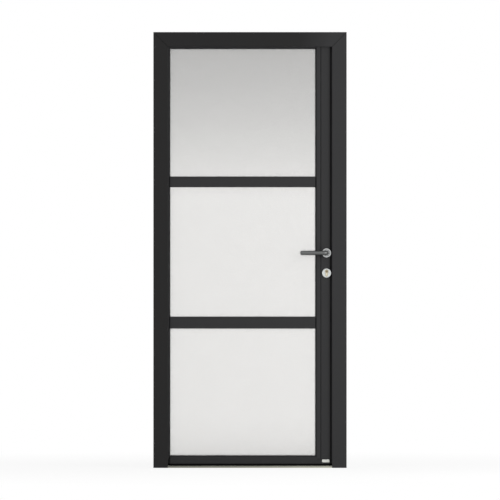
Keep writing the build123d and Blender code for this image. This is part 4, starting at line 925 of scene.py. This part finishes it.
class DOOR_OT_set_stage(bpy.types.Operator):
    """Pale floor, white surroundings, soft lamps and the camera"""

    bl_idname = "door.set_stage"
    bl_label = "Set stage"

    FLOOR_TONE = (0.86, 0.86, 0.86, 1)
    WHITE = (1, 1, 1, 1)
    # Share of plain white in what is seen of the floor: near the door its shadow stays, and from
    # the far reach on it is white
    NEAR_WHITE = 0.86
    NEAR_REACH, FAR_REACH = 0.9, 3.2
    # Place, and width and height, of the lamps in metres
    KEY_PLACE, KEY_SIZE = (2.6, -2.6, 1.7), (1.2, 2.2)
    FILL_PLACE, FILL_SIZE = (-2.4, -3.4, 2.4), (1.6, 1.6)

    @staticmethod
    def seen_rays(nodes, links):
        """1 for what the camera sees, also by reflection and refraction, 0 for other light."""
        path = nodes.new("ShaderNodeLightPath")
        total = path.outputs["Is Camera Ray"]
        for name in ("Is Glossy Ray", "Is Transmission Ray"):
            node = nodes.new("ShaderNodeMath")
            node.operation = "MAXIMUM"
            links.new(total, node.inputs[0])
            links.new(path.outputs[name], node.inputs[1])
            total = node.outputs["Value"]
        return total

    def surroundings(self, scene, stage):
        """White to look at, with a plain level of light on the object."""
        world = bpy.data.worlds.new("white_surroundings")
        scene.world = world
        world.use_nodes = True
        nodes, links = world.node_tree.nodes, world.node_tree.links
        light, white = nodes["Background"], nodes.new("ShaderNodeBackground")
        for node, strength in ((light, stage.ambient), (white, 1.0)):
            node.inputs["Color"].default_value = self.WHITE
            node.inputs["Strength"].default_value = strength
        mix = nodes.new("ShaderNodeMixShader")
        links.new(self.seen_rays(nodes, links), mix.inputs["Fac"])
        links.new(light.outputs["Background"], mix.inputs[1])
        links.new(white.outputs["Background"], mix.inputs[2])
        links.new(mix.outputs["Shader"], nodes["World Output"].inputs["Surface"])

    def floor(self, stage):
        """A pale floor that keeps the door's shadow and fades to white."""
        start()
        bpy.ops.mesh.primitive_plane_add(size=stage.floor_size, location=(0, 0, 0))
        floor = bpy.context.object
        floor.name = "pale_floor"
        sockets = {"Base Color": self.FLOOR_TONE, "Roughness": 0.9, "Specular IOR Level": 0.0}
        finish = Finish("pale_floor", sockets)
        reach = finish.new("ShaderNodeVectorMath", {0: finish.place}, operation="LENGTH")
        limits = {
            "Value": reach.outputs["Value"],
            "From Min": self.NEAR_REACH,
            "From Max": self.FAR_REACH,
            "To Min": self.NEAR_WHITE,
        }
        fade = finish.new("ShaderNodeMapRange", limits).outputs["Result"]
        seen = self.seen_rays(finish.nodes, finish.links)
        share = finish.new("ShaderNodeMath", {0: seen, 1: fade}, operation="MULTIPLY")
        glow = finish.new("ShaderNodeEmission", {"Color": self.WHITE, "Strength": 1.0})
        layers = {
            "Fac": share.outputs["Value"],
            1: finish.shader.outputs["BSDF"],
            2: glow.outputs["Emission"],
        }
        mix = finish.new("ShaderNodeMixShader", layers)
        surface = finish.nodes["Material Output"].inputs["Surface"]
        finish.links.new(mix.outputs["Shader"], surface)
        floor.data.materials.append(finish.material)

    @staticmethod
    def lamp(name, place, size, energy, target):
        start()
        bpy.ops.object.light_add(type="AREA", location=place)
        lamp = bpy.context.object
        lamp.name = name
        lamp.data.shape = "RECTANGLE"
        lamp.data.size, lamp.data.size_y = size
        lamp.data.energy = energy
        # A lamp behind the etched pane would turn it plain white, so it isn't seen through glass
        lamp.visible_transmission = False
        lamp.rotation_euler = (target - Vector(place)).to_track_quat("-Z", "Y").to_euler()

    @staticmethod
    def camera(scene, stage, x):
        start()
        bpy.ops.object.camera_add()
        camera = bpy.context.object
        camera.data.sensor_width = stage.sensor
        camera.data.lens = stage.sensor * stage.camera_distance / stage.picture_width
        camera.data.clip_end = stage.camera_distance + stage.floor_size
        camera.location = (x, FRAME_LOW.y - stage.camera_distance, stage.eye_height)
        camera.rotation_euler = (QUARTER_TURN, 0, 0)
        scene.camera = camera

    def execute(self, context):
        scene, stage = context.scene, context.scene.door_stage
        self.surroundings(scene, stage)
        self.floor(stage)
        middle = (FRAME_LOW + FRAME_HIGH) / 2
        self.lamp("key_lamp", self.KEY_PLACE, self.KEY_SIZE, stage.key_power, middle)
        self.lamp("fill_lamp", self.FILL_PLACE, self.FILL_SIZE, stage.fill_power, middle)
        self.camera(scene, stage, middle.x)
        scene.view_settings.view_transform = "Standard"
        return {"FINISHED"}


OPERATORS = (
    DOOR_OT_coat_profiles,
    DOOR_OT_finish_sill,
    DOOR_OT_finish_seals,
    DOOR_OT_glaze,
    DOOR_OT_finish_furniture,
    DOOR_OT_finish_lock,
    DOOR_OT_add_joint_lines,
    DOOR_OT_add_hinge_fittings,
    DOOR_OT_add_plate_screws,
    DOOR_OT_add_strike_packers,
    DOOR_OT_add_fixing_caps,
    DOOR_OT_add_badge,
    DOOR_OT_set_stage,
)

GROUPS = {"door_colours": DoorColours, "door_sizes": DoorSizes, "door_stage": DoorStage}


class DOOR_PT_panel(bpy.types.Panel):
    """Lists the steps that dress the door, with its colours and sizes"""

    bl_idname = "DOOR_PT_panel"
    bl_label = "Entrance door"
    bl_space_type = "VIEW_3D"
    bl_region_type = "UI"
    bl_category = "Door"

    def draw(self, context):
        for operator in OPERATORS:
            self.layout.operator(operator.bl_idname)
        for group_name in GROUPS:
            group = getattr(context.scene, group_name)
            box = self.layout.box()
            for name in group.bl_rna.properties.keys():
                if name not in ("rna_type", "name"):
                    box.prop(group, name)


def register():
    for group in GROUPS.values():
        bpy.utils.register_class(group)
    for name, group in GROUPS.items():
        setattr(bpy.types.Scene, name, PointerProperty(type=group))
    for operator in OPERATORS:
        bpy.utils.register_class(operator)
    bpy.utils.register_class(DOOR_PT_panel)


def unregister():
    bpy.utils.unregister_class(DOOR_PT_panel)
    for operator in reversed(OPERATORS):
        bpy.utils.unregister_class(operator)
    for name in GROUPS:
        delattr(bpy.types.Scene, name)
    for group in reversed(list(GROUPS.values())):
        bpy.utils.unregister_class(group)


def main():
    register()
    for operator in OPERATORS:
        family, step = operator.bl_idname.split(".")
        getattr(getattr(bpy.ops, family), step)()


if __name__ == "__main__":
    main()
